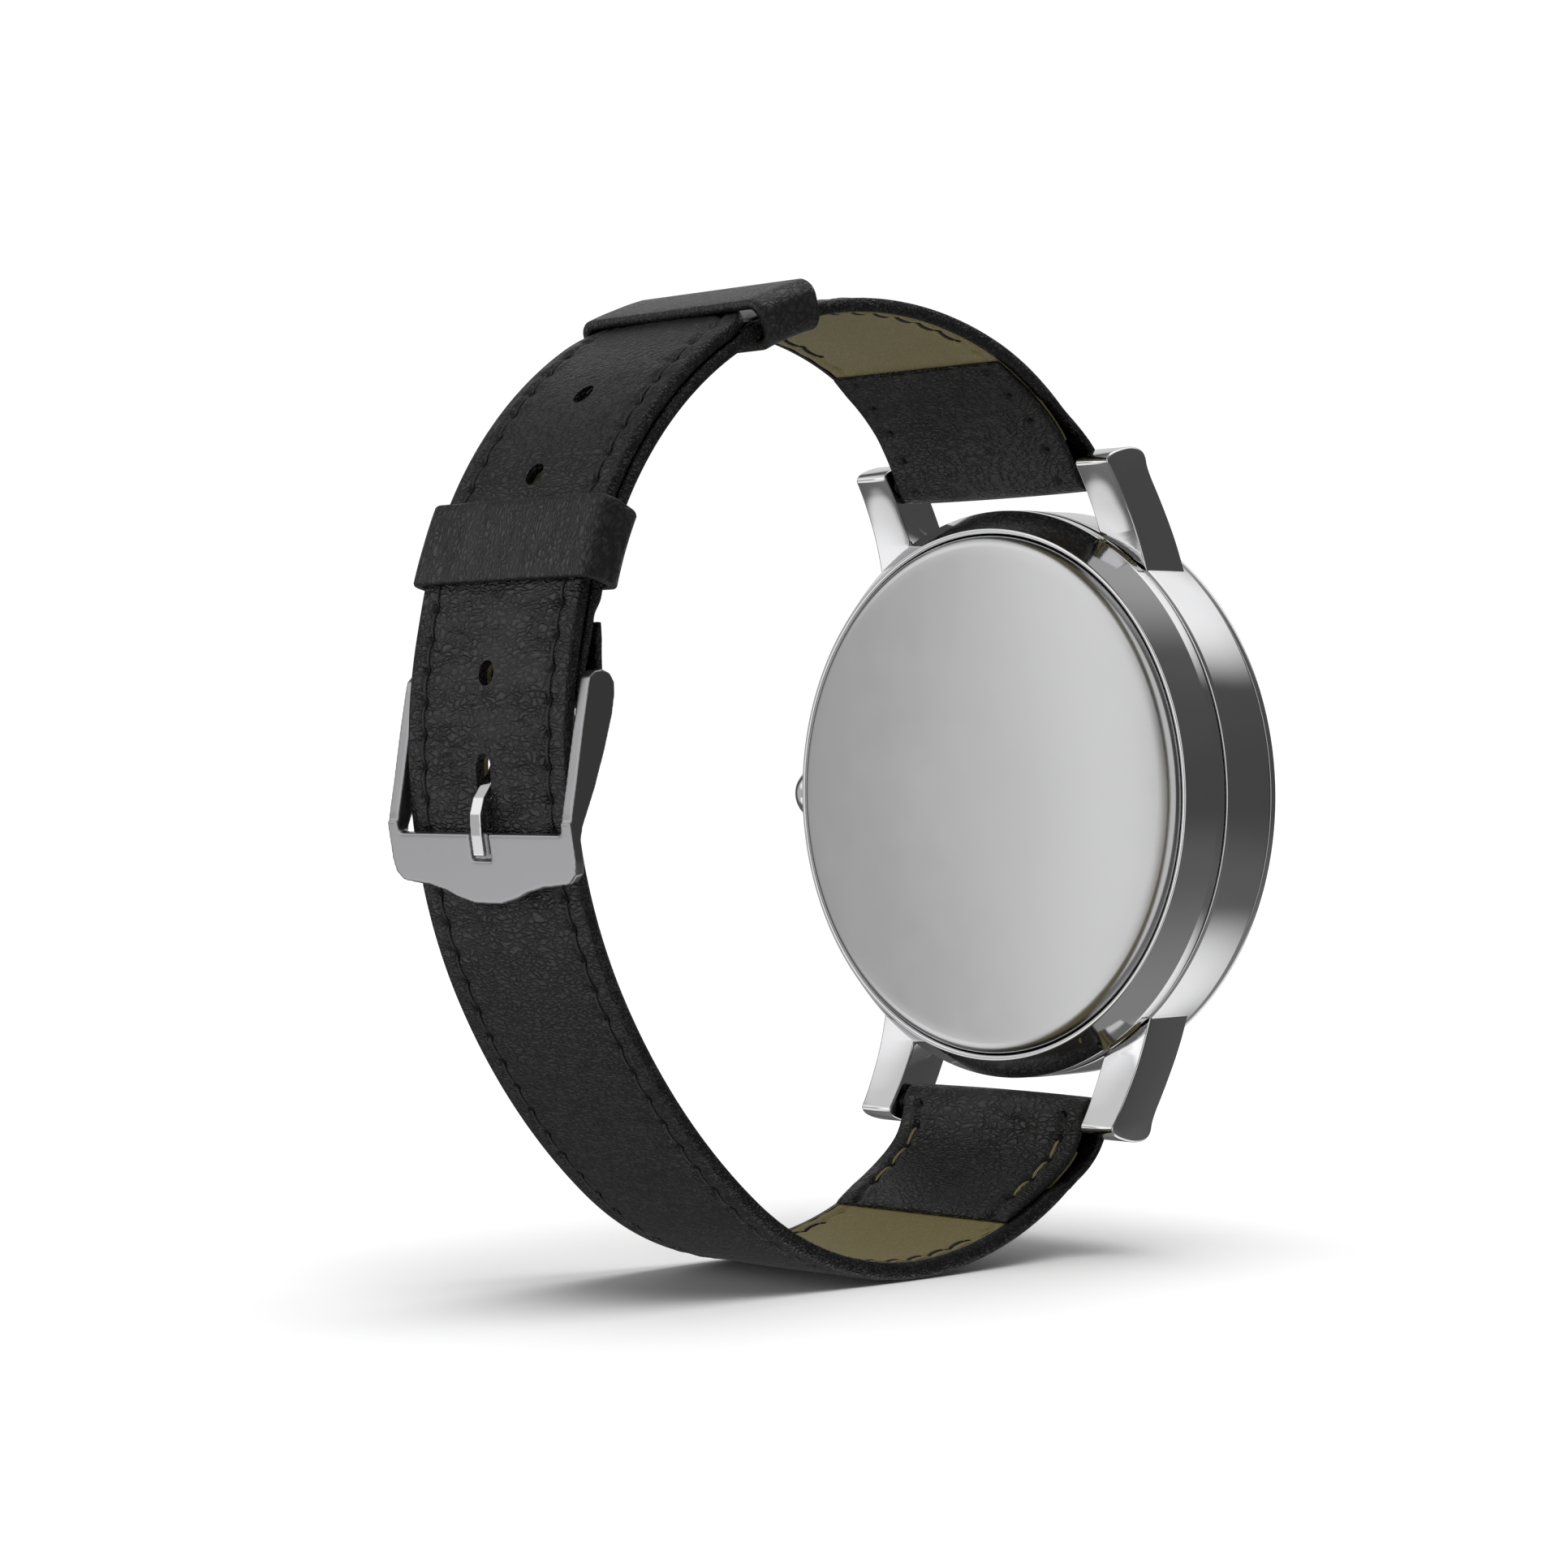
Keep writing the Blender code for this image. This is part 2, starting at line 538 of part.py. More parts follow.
def build_holder():
    holder = turned("movement_holder", [
        (17.2, -7.4), (18.9, -7.4), (18.9, -3.9), (17.2, -3.9)], "holder_plastic")
    window = turned("window", rod_profile(0.8, 16.0, 20.0), "holder_plastic",
                    (0, CROWN_Y, 0), "X", 16)
    combine(holder, window, "DIFFERENCE")


# ---------------------------------------------------------------- strap

def walk(start, heading, spin, arcs):
    """Stations (point, outward normal, distance) along tangent arcs (length, radius, step).

    spin is 1 for a counter-clockwise loop seen with Y to the right and Z up, -1 for clockwise.
    """
    stations = []
    point, travelled = Vector(start), 0.0
    for length, radius, step in arcs:
        outward = Vector((sin(heading), -cos(heading))) * spin
        centre = point - outward * radius
        count = max(2, round(length / step))
        for index in range(0 if not stations else 1, count + 1):
            turn = heading + spin * length * index / count / radius
            normal = Vector((sin(turn), -cos(turn))) * spin
            stations.append((centre + normal * radius, normal, travelled + length * index / count))
        heading += spin * length / radius
        travelled += length
        point = stations[-1][0]
    return stations, heading


def route_to_lug(start, heading, spin, arcs, bar):
    """Walk the arcs, close on the lug's bar, and count distances from that bar."""
    stations, last_heading = walk(start, heading, spin, arcs)
    across = Vector(bar) - stations[-1][0]
    outward = Vector((sin(last_heading), -cos(last_heading))) * spin
    radius = across.length_squared / (-2 * across.dot(outward))
    length = 2 * radius * asin(across.length / (2 * radius))
    stations, _ = walk(start, heading, spin, [*arcs, (length, radius, 1.1)])
    total = stations[-1][2]
    return [(point, normal, total - along) for point, normal, along in reversed(stations)]


def short_route():
    """The 12 o'clock strap, from its spring bar over the top to the buckle's axle."""
    start = (KEEPER_AXIS[0] + SHORT_R, KEEPER_AXIS[1])
    whole = SHORT_R * radians(SHORT_TURN)
    arcs = [(5.0, SHORT_R, 0.9), (whole - 5.0, SHORT_R, 2.6)]
    return route_to_lug(start, pi / 2, 1, arcs, LUG_BAR)


def long_route():
    """The 6 o'clock strap, from its spring bar under the wrist, past the buckle to its tip."""
    tip, leave = radians(TIP_ANGLE), radians(LEAVE_ANGLE)
    start = (KEEPER_AXIS[0] + LONG_R * cos(tip), KEEPER_AXIS[1] + LONG_R * sin(tip))
    arcs = [(LONG_R * (tip - leave), LONG_R, 2.6)]
    arcs += [(length, radius, 2.6) for length, radius in LONG_ARCS]
    return route_to_lug(start, tip - pi / 2, -1, arcs, (LUG_BAR[0], -LUG_BAR[1]))


def station_at(stations, distance):
    """Point and outward normal at a distance from the lug's bar."""
    for (point, normal, low), (after, normal_after, high) in zip(stations, stations[1:]):
        if low <= distance <= high:
            share = (distance - low) / (high - low)
            return point.lerp(after, share), normal.lerp(normal_after, share).normalized()
    raise ValueError("no station at that distance")


def distance_at_height(stations, height):
    """Distance from the bar to where the outer stretch by the buckle passes a height."""
    outer = [item for item in stations if item[0].x > KEEPER_AXIS[0] + 20]
    for (point, _, low), (after, _, high) in zip(outer, outer[1:]):
        if min(point.y, after.y) <= height <= max(point.y, after.y):
            return low + (high - low) * (height - point.y) / (after.y - point.y)
    raise ValueError("the strap doesn't pass that height")


def opening(distance, reach):
    """1 at a bar, falling smoothly to 0 at reach, where the layers lie together."""
    share = min(max(distance / reach, 0.0), 1.0)
    return 1 - share * share * (3 - 2 * share)


def half_turn(centre, normal, ahead, radius, count=8):
    """Points round a bar from normal through ahead to the other side, without the ends."""
    angles = [pi * index / count for index in range(1, count)]
    return [centre + (normal * cos(angle) + ahead * sin(angle)) * radius for angle in angles]


def side_line(stations, offset, low, high):
    """(point, distance) pairs at an outward offset that depends on the distance."""
    return [(point + normal * offset(along), along) for point, normal, along in stations
            if low - 1e-6 <= along <= high + 1e-6]


def half_width(distance, taper_end, tip):
    """Half the strap's width: it tapers from the lugs, and rounds off at its tip."""
    share = min(max((distance - 4.0) / (taper_end - 4.0), 0.0), 1.0)
    width = STRAP_W + (STRAP_END_W - STRAP_W) * share
    if tip is not None and distance > tip - TIP_ROUND:
        width *= sqrt(max(1 - ((distance - tip + TIP_ROUND) / TIP_ROUND) ** 2, 0.04))
    return width / 2


def strap_solid(name, outline, taper_end, tip, finish):
    """Widen a side outline of (point, distance) pairs into a tapering strap."""
    bm = bmesh.new()
    verts = [bm.verts.new((0.0, point.x, point.y)) for point, _ in outline]
    widths = {vert: half_width(along, taper_end, tip) for vert, (_, along) in zip(verts, outline)}
    face = bm.faces.new(verts)
    face.normal_update()
    faces = bmesh.ops.triangulate(bm, faces=[face])["faces"]
    copies = bmesh.ops.duplicate(bm, geom=faces)
    twins = copies["vert_map"]
    for vert, width in widths.items():
        vert.co.x, twins[vert].co.x = -width, width
    for first, second in zip(verts, verts[1:] + verts[:1]):
        bm.faces.new((first, second, twins[second], twins[first]))
    return to_object(name, bm, finish)


def lug_end(stations):
    """The turned-over end: under face, round the bar, wrap patch, and back round the bar."""
    bar, normal, _ = stations[0]
    back = bar - stations[1][0]
    back.normalize()

    def wrap_low(along):
        return -(STRAP_T / 2 + LAYER + LEATHER_T) - LOOP_EXTRA * opening(along, 6.0)

    def wrap_top(along):
        return wrap_low(along) + LEATHER_T

    outline = [(point, 0.0) for point in half_turn(bar, normal, back, LOOP_R - LEATHER_T)]
    outline += side_line(stations, wrap_top, 0.0, PATCH_LENGTH)
    outline += side_line(stations, wrap_low, 0.0, PATCH_LENGTH)[::-1]
    outline += [(point, 0.0) for point in half_turn(bar, -normal, back, LOOP_R)]
    return outline


def build_short_strap():
    stations = short_route()
    total = stations[-1][2]

    def outer(along):
        return (STRAP_T / 2 + (LOOP_R - STRAP_T / 2) * opening(along, 6.0)
                + AXLE_RISE * opening(total - along, 4.5))

    def under(along):
        return outer(along) - LEATHER_T

    def flap_low(along):
        return -(STRAP_T / 2 + LAYER + LEATHER_T) - FLAP_EXTRA * opening(total - along, 4.5)

    def flap_top(along):
        return flap_low(along) + LEATHER_T

    normal = stations[-1][1]
    ahead = (stations[-1][0] - stations[-2][0]).normalized()
    axle = Vector(axle_centre())
    outline = side_line(stations, outer, 0.0, total)
    outline += [(point, total) for point in half_turn(axle, normal, ahead, AXLE_LOOP_R)]
    outline += side_line(stations, flap_low, total - FLAP_LENGTH, total)[::-1]
    outline += side_line(stations, flap_top, total - FLAP_LENGTH, total)
    inner_turn = half_turn(axle, -normal, ahead, AXLE_LOOP_R - LEATHER_T)
    outline += [(point, total) for point in inner_turn]
    outline += side_line(stations, under, 0.0, total)[::-1]
    outline += lug_end(stations)
    leather = strap_solid("short_strap_leather", outline, SHORT_TAPER, None, "black_leather")
    slot = to_object("slot", box_bm((-1.05, 43.0, 5.9), (1.05, 50.0, 10.6)), "black_leather")
    combine(leather, slot, "DIFFERENCE")
    lining = lining_outline(stations, 3.0, total - 3.4)
    strap_solid("short_strap_lining", lining, SHORT_TAPER, None, "olive_lining")


def lining_outline(stations, low, high):
    top = STRAP_T / 2 - LEATHER_T - LAYER
    line = side_line(stations, lambda along: top, low, high)
    return line + side_line(stations, lambda along: -STRAP_T / 2, low, high)[::-1]


def axle_centre():
    """The buckle's axle: below the outer face of the short strap's end by its loop radius."""
    return (KEEPER_AXIS[0] + SHORT_R + STRAP_T / 2 + AXLE_RISE - AXLE_LOOP_R, KEEPER_AXIS[1])


def build_long_strap():
    stations = long_route()
    total = stations[-1][2]

    def outer(along):
        padding = PADDING * opening(along - 8.0, 55.0) * (1 - opening(along, 8.0))
        return STRAP_T / 2 + (LOOP_R - STRAP_T / 2) * opening(along, 6.0) + padding

    def under(along):
        return outer(along) - LEATHER_T if along < 6.0 else STRAP_T / 2 - LEATHER_T

    outline = side_line(stations, outer, 0.0, total)
    outline += side_line(stations, under, 0.0, total)[::-1]
    outline += lug_end(stations)
    leather = strap_solid("long_strap_leather", outline, LONG_TAPER, total, "black_leather")
    lining = strap_solid("long_strap_lining", lining_outline(stations, 3.0, total - 0.8),
                         LONG_TAPER, total, "olive_lining")
    tongue_hole = distance_at_height(stations, TONGUE_HOLE_Z)
    for index in range(-1, 5):
        middle = tongue_hole + HOLE_PITCH * index
        reach = TONGUE_HOLE_REACH if index == 0 else 0.0
        for layer in (leather, lining):
            combine(layer, hole_cutter(stations, middle, reach), "DIFFERENCE")


def hole_cutter(stations, middle, reach):
    """A round hole, or one lengthened by reach each way, square to the strap at a distance."""
    point, normal = station_at(stations, middle)
    outline = [(x, z + (reach if z > 0 else -reach)) for x, z in circle(HOLE_R, phase=pi / 20, count=20)]
    cutter = plate("hole", [outline], "Y", -2.0, 2.0, "black_leather")
    turn = atan2(normal.y, normal.x)
    cutter.data.transform(Matrix.Rotation(turn, 4, "X"))
    cutter.location = (0, point.x, point.y)
    return cutter


def build_keeper(name, low_angle, high_angle):
    """A leather band round both strap layers, bent along the keeper arc."""
    outer = rounded_rectangle(KEEPER_HALF_OUT, KEEPER_R[0], KEEPER_R[3], 1.3)
    inner = rounded_rectangle(KEEPER_HALF_IN, KEEPER_R[1], KEEPER_R[2], 0.5)
    bm = bmesh.new()
    for loop in (outer, inner):
        verts = [bm.verts.new((x, radius, 0.0)) for x, radius in loop]
        for first, second in zip(verts, verts[1:] + verts[:1]):
            bm.edges.new((first, second))
    faces = bmesh.ops.triangle_fill(bm, edges=list(bm.edges), use_beauty=True)["geom"]
    bmesh.ops.rotate(bm, verts=bm.verts, matrix=Matrix.Rotation(radians(low_angle), 3, "X"))
    bmesh.ops.spin(bm, geom=faces, cent=(0, 0, 0), axis=(1, 0, 0),
                   angle=radians(high_angle - low_angle), steps=4)
    bmesh.ops.translate(bm, vec=(0, *KEEPER_AXIS), verts=bm.verts)
    to_object(name, bm, "black_leather", (0, *KEEPER_AXIS))


# ---------------------------------------------------------------- buckle and bars

def build_buckle():
    axle = axle_centre()
    origin = (0, *axle)
    half = [(ARM_OUT_X, -1.2), (ARM_OUT_X, -3.9), (10.0, -4.8), (9.3, -5.4), (7.9, -5.6),
            (6.2, -5.75), (4.6, -6.1), (3.0, -6.65), (1.5, -6.95)]
    outline = half + [(0.0, -7.0)] + [(-x, z) for x, z in reversed(half)]
    outline += [(-ARM_IN_X, -1.2), (-ARM_IN_X, -1.75), (-ARM_IN_X + 0.3, -2.0),
                (ARM_IN_X - 0.3, -2.0), (ARM_IN_X, -1.75), (ARM_IN_X, -1.2)]
    bar = plate_bm([outline], "Y", *BAR_Y)
    bmesh.ops.rotate(bar, verts=bar.verts, cent=(0, BAR_Y[1], -2.0),
                     matrix=Matrix.Rotation(BAR_LEAN, 3, "X"))
    frame = to_object("buckle_frame", bar, "satin_steel", origin)
    arm = [(48.05, 8.1), (47.9, 8.75), (47.4, 9.2), (46.75, 9.3), (46.1, 9.05), (45.7, 8.45),
           (45.65, 7.7), (45.9, 6.2), (46.6, 3.8), (47.5, 1.2), (48.6, -1.4), (48.75, -2.2),
           (49.62, -2.2), (49.7, -1.6), (49.6, -0.6), (49.2, 1.6), (48.6, 5.2)]
    for side in (-1, 1):
        low, high = sorted((side * ARM_IN_X, side * ARM_OUT_X))
        combine(frame, plate("arm", [arm], "X", low, high, "satin_steel"), "UNION")
        low, high = sorted((side * (ARM_IN_X - 1), side * (BUCKLE_PIN_END + 0.15)))
        hole = turned("hole", rod_profile(PIN_R + 0.1, low, high), "satin_steel", origin, "X", 16)
        combine(frame, hole, "DIFFERENCE")
    notch = box_bm((-1.05, NOTCH_Y, -3.9), (1.05, 52.0, -1.0))
    bmesh.ops.rotate(notch, verts=notch.verts, cent=(0, BAR_Y[1], -2.0),
                     matrix=Matrix.Rotation(BAR_LEAN, 3, "X"))
    combine(frame, to_object("notch", notch, "satin_steel"), "DIFFERENCE")
    build_tang(axle)


def build_tang(axle):
    """The tongue: an eye round the axle and an arm through the strap to the frame's notch."""
    middle = [(46.85, 6.7), (47.3, 4.6), (47.5, 3.3), (48.0, 2.15), (48.7, 1.25), (49.3, 0.4),
              (49.6, -0.7), (49.52, -2.0), (49.28, -3.5)]
    left, right = [], []
    for index, point in enumerate(middle):
        before = Vector(middle[max(index - 1, 0)])
        after = Vector(middle[min(index + 1, len(middle) - 1)])
        along = (after - before).normalized()
        across = Vector((-along.y, along.x)) * TANG_HALF_T
        left.append(Vector(point) + across)
        right.append(Vector(point) - across)
    right[0].x -= 0.35
    eye = [Vector(axle) + 1.12 * Vector((cos(angle), sin(angle)))
           for angle in (radians(step) for step in range(-62, 250, 26))]
    outline = [tuple(point) for point in left[::-1] + eye + right]
    bore = circle(AXLE_BAR_R + 0.07, axle, 20)
    plate("buckle_tang", [outline, bore], "X", -TANG_HALF_W, TANG_HALF_W, "polished_steel", (0, *axle))


def build_spring_bar(name, half, radius, centre, end_x):
    """A tube with a sprung pin in each end."""
    bore = PIN_R + RUN
    turned(name + "_tube", tube_profile(bore, radius, -half, half), "satin_steel", centre, "X", 16)
    for side, label in ((-1, "left"), (1, "right")):
        ends = sorted((side * (half - 4.0), side * end_x))
        turned(f"{name}_{label}_pin", rod_profile(PIN_R, *ends), "satin_steel", centre, "X", 12)


def build_bars():
    build_spring_bar("upper_bar", LUG_BAR_HALF, BAR_R, (0, LUG_BAR[0], LUG_BAR[1]), 11.5)
    build_spring_bar("lower_bar", LUG_BAR_HALF, BAR_R, (0, LUG_BAR[0], -LUG_BAR[1]), 11.5)
    build_spring_bar("buckle_bar", AXLE_BAR_HALF, AXLE_BAR_R, (0, *axle_centre()), BUCKLE_PIN_END)


def scale_to_metres():
    for item in bpy.data.objects:
        item.data.transform(Matrix.Scale(MM, 4))
        item.location *= MM


def main():
    clear_scene()
    build_case_back()
    build_back_ring()
    build_mid_case()
    build_front()
    build_crown()
    build_dial()
    build_hands()
    build_train()
    build_motor()
    build_plates()
    build_screws()
    build_electronics()
    build_buzzer()
    build_holder()
    build_short_strap()
    build_long_strap()
    build_keeper("fixed_keeper", 14.7, 26.3)
    build_keeper("free_keeper", 64.0, 75.0)
    build_buckle()
    build_bars()
    scale_to_metres()


main()
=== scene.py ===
"""Looks of the hybrid smartwatch: fine metal, grained leather, stitching, light and camera.

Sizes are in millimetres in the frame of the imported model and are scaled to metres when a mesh
is made. Side outlines are (y, z) points and turned profiles are (radius, depth) points.
"""

import json
from math import asin, ceil, cos, pi, radians, sin, sqrt

import bmesh
import bpy
import numpy as np
from mathutils import Matrix, Vector


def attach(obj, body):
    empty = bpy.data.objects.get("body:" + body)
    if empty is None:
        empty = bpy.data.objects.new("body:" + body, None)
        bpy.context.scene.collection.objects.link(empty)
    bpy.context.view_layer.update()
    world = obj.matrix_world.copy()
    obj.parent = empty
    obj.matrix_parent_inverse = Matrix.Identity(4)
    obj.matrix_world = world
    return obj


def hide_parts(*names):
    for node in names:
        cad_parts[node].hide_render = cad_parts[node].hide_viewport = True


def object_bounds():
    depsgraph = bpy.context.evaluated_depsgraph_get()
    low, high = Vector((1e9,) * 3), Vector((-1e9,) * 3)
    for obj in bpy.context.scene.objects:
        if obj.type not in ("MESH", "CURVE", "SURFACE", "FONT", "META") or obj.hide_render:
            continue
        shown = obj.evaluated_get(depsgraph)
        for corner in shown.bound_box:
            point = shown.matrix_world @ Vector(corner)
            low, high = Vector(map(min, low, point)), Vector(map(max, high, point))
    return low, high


MM = 0.001
ROUND = 256
FILLET_STEPS = 4
WELD_GAP = 0.002

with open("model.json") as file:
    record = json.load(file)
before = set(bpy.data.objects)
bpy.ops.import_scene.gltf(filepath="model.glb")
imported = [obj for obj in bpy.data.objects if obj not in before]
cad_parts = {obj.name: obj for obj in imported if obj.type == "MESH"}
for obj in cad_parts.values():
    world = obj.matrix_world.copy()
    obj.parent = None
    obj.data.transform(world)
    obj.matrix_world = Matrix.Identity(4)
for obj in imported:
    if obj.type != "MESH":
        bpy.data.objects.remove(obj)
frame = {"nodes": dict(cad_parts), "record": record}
cad_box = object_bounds()
nodes = frame["nodes"]

# Case, as depths along Y from the back's outer face
CASE_R = 22.35
BODY_BACK_Y = -4.0
BODY_FRONT_Y = -9.1
CRYSTAL_Y = -10.55
LUG_IN_X = 10.3
LUG_OUT_X = 13.6
LUG_ROOT_R = 21.55
LUG_TIP_Z = 26.6
LUG_FLARE = 0.085
LUG_BEVEL = 0.2
LUG_BAR = (-2.7, 24.8)
CROWN_Y = -6.1
ACTIVITY_Z = -9.5
DIAL_FACE_Y = -7.9
BATON_HALF_W = 0.38
TICK_HALF_W = 0.08
SMALL_TICK_HALF_W = 0.06
PRINT_RISE = 0.03

# Strap: its route is made of tangent arcs round and below the keeper's axis
STRAP_W = 20.0
STRAP_END_W = 17.6
STRAP_T = 1.0
LEATHER_T = 0.6
LAYER = 0.05
KEEPER_AXIS = (18.45, 7.9)
SHORT_R = 28.25
LONG_R = SHORT_R + STRAP_T + 0.15
LONG_ARCS = ((3.0, 120.0), (26.5, 38.5), (19.0, 49.0), (19.5, 24.8), (16.0, 27.4))
SHORT_TURN = 113.0
LEAVE_ANGLE = 13.0
TIP_ANGLE = 70.0
TIP_ROUND = 6.0
SHORT_TAPER = 27.0
LONG_TAPER = 70.0
PATCH_LENGTH = 12.6
PADDING = 0.3
LOOP_R = 1.5
LOOP_EXTRA = LOOP_R - STRAP_T / 2 - LAYER - LEATHER_T
HOLE_R = 0.8
HOLE_PITCH = 7.3
TONGUE_HOLE_Z = 1.7
KEEPER_R = (26.9, 27.65, 30.0, 30.7)
KEEPER_HALF_IN = 9.2
KEEPER_HALF_OUT = 9.9
KEEPER_CORNER_STEPS = 9
KEEPER_RIM_STEPS = 12
KEEPER_DIP = 0.05
FIXED_KEEPER_ANGLES = (14.7, 26.3)
FREE_KEEPER_ANGLES = (64.0, 75.0)
TONGUE_HOLE_REACH = 1.0
AXLE_RISE = 0.5
AXLE_LOOP_R = 1.22
FLAP_LENGTH = 5.0
FLAP_EXTRA = 2 * AXLE_LOOP_R - AXLE_RISE - STRAP_T - LAYER - LEATHER_T
TURN_STEPS = 14
LONG_CROWN = 0.12
SHORT_CROWN = 0.1
TANG_SLOT_HALF_W = 1.05
TANG_SLOT_Y = (43.0, 50.0)
TANG_SLOT_Z = (5.9, 10.6)

# Seams
SEAM_INSET = 1.9
OUTER_PITCH = 2.25
UPPER_PATCH_PITCH = 2.9
LOWER_PATCH_PITCH = 2.4
THREAD_R = 0.15
HOLE_PLUG_R = 0.27
STEP = 0.24
LINING_TRIM = 0.8
SKIRT = STRAP_T - LEATHER_T
THREAD_SIDES = 8
THREAD_STEPS = 8
# Dark plugs in the stitch holes are painted shade
PLUG_SIDES = 12
PLUG_RINGS = ((-0.5, HOLE_PLUG_R), (-0.16, HOLE_PLUG_R), (-0.13, HOLE_PLUG_R - 0.05))
MIN_ROW_GAP = 0.02

# Stage
FLOOR_HALF = 6.0
CAMERA_PLACE = (-0.212, 0.218, 0.0039)
CAMERA_TURN = (227.03, 0.55, -0.5)
CAMERA_LENS = 89.2
SKY_STOPS = ((0.0, 0.25), (0.3, 0.12), (0.47, 0.07), (0.56, 0.07), (0.7, 0.08), (0.85, 0.1),
             (1.0, 0.4))
BACKDROP = 1.05

# Soft panels that the metal mirrors: azimuth, elevation, outer and inner cosine, strength
PANELS = ((89.0, 3.0, 0.715, 0.765, 0.65), (36.0, 0.0, 0.8, 0.96, 0.42),
          (262.0, 58.0, 0.8, 0.96, 0.95), (262.0, -62.0, 0.8, 0.96, 0.8),
          (36.0, -25.0, 0.965, 0.985, 0.6), (35.0, 32.0, 0.9, 0.98, 0.6),
          (319.0, 15.0, 0.85, 0.97, 0.6))

# Suns: name, direction, spread in degrees, strength
SUNS = (("above", (0.06, -0.04, -1.0), 50.0, 2.1), ("side", (0.5, -0.25, -1.0), 30.0, 0.5))


# ---------------------------------------------------------------- materials

def shader_setup(name):
    """A new node material, its tree and its shader."""
    made = bpy.data.materials.new(name)
    made.use_nodes = True
    tree = made.node_tree
    return made, tree, tree.nodes["Principled BSDF"]


def node(tree, kind, inputs=None, **settings):
    """Add a node, set its properties, and link or set its inputs."""
    made = tree.nodes.new(kind)
    for key, value in settings.items():
        setattr(made, key, value)
    for key, value in (inputs or {}).items():
        if isinstance(value, bpy.types.NodeSocket):
            tree.links.new(value, made.inputs[key])
        else:
            made.inputs[key].default_value = value
    return made


def millimetres(tree, stretch=(1.0, 1.0, 1.0)):
    """Object coordinates in millimetres, stretched."""
    coords = node(tree, "ShaderNodeTexCoord")
    scale = tuple(value / MM for value in stretch)
    mapping = node(tree, "ShaderNodeMapping",
                   {"Vector": coords.outputs["Object"], "Scale": scale}, vector_type="POINT")
    return mapping.outputs["Vector"]


def noise(tree, vector, scale, detail=2.0, roughness=0.5):
    """Grey noise of a scale per millimetre."""
    made = node(tree, "ShaderNodeTexNoise", {
        "Vector": vector, "Scale": scale, "Detail": detail, "Roughness": roughness})
    return made.outputs["Fac"]


def ranged(tree, value, low, high, start=0.0, stop=1.0):
    """Map start..stop to low..high."""
    made = node(tree, "ShaderNodeMapRange", {
        "Value": value, "From Min": start, "From Max": stop, "To Min": low, "To Max": high})
    return made.outputs["Result"]


def math(tree, operation, first, second):
    """A two-input math node's result."""
    made = node(tree, "ShaderNodeMath", {0: first, 1: second}, operation=operation)
    return made.outputs["Value"]


def tinted(tree, value, first, second):
    """A colour mixed from two by a value."""
    made = node(tree, "ShaderNodeMix", {"Factor": value}, data_type="RGBA")
    for socket, colour in zip([s for s in made.inputs if s.type == "RGBA"], (first, second)):
        socket.default_value = (*colour, 1.0)
    return [s for s in made.outputs if s.type == "RGBA"][0]


def bumped(tree, shader, height, depth):
    """Bump of a given depth in millimetres."""
    made = node(tree, "ShaderNodeBump", {"Height": height, "Distance": depth * MM, "Strength": 1.0})
    tree.links.new(made.outputs["Normal"], shader.inputs["Normal"])


def steel(name, dark, light, rough_low, rough_high, grain, depth):
    """Metal with cloudy roughness and a fine surface grain."""
    made, tree, shader = shader_setup(name)
    shader.inputs["Metallic"].default_value = 1.0
    place = millimetres(tree)
    cloud = noise(tree, place, 0.25, 3.0)
    tree.links.new(tinted(tree, cloud, dark, light), shader.inputs["Base Color"])
    fine = noise(tree, place, grain, 2.0, 0.6)
    mixed = math(tree, "MULTIPLY", math(tree, "ADD", cloud, fine), 0.5)
    tree.links.new(ranged(tree, mixed, rough_low, rough_high, 0.3, 0.7), shader.inputs["Roughness"])
    bumped(tree, shader, fine, depth)
    return made


def leather(name, dark, light, rough_low, rough_high, cell, depth, stretch=(0.55, 1.2, 1.2)):
    """Grained leather: small wrinkled cells over a fine pore noise, the colour darkened in the
    cells' creases as painted shade.
    """
    made, tree, shader = shader_setup(name)
    place = millimetres(tree, stretch)
    warp = node(tree, "ShaderNodeTexNoise", {"Vector": place, "Scale": 0.9, "Detail": 3.0})
    moved = node(tree, "ShaderNodeVectorMath", {0: warp.outputs["Color"], 1: (1.5, 1.5, 1.5)},
                 operation="MULTIPLY")
    bent = node(tree, "ShaderNodeVectorMath", {0: place, 1: moved.outputs["Vector"]},
                operation="ADD")
    cells = node(tree, "ShaderNodeTexVoronoi",
                 {"Vector": bent.outputs["Vector"], "Scale": 1.0 / cell, "Randomness": 1.0},
                 feature="DISTANCE_TO_EDGE")
    crease = ranged(tree, cells.outputs["Distance"], 0.0, 1.0, 0.0, 0.28)
    pores = noise(tree, place, 5.0, 3.0, 0.6)
    patches = noise(tree, place, 0.35, 2.0)
    weak = math(tree, "MULTIPLY", crease, ranged(tree, patches, 0.35, 1.0, 0.3, 0.65))
    height = math(tree, "ADD", weak, math(tree, "MULTIPLY", pores, 0.55))
    # colour: painted shade darkening the grain's creases, mixed with a random patchy tone
    mixed = math(tree, "MULTIPLY", math(tree, "ADD", crease, patches), 0.5)
    tree.links.new(tinted(tree, mixed, dark, light), shader.inputs["Base Color"])
    tree.links.new(ranged(tree, pores, rough_high, rough_low, 0.3, 0.7),
                   shader.inputs["Roughness"])
    tree.links.new(ranged(tree, crease, 0.35, 0.65), shader.inputs["Specular IOR Level"])
    bumped(tree, shader, height, depth)
    return made


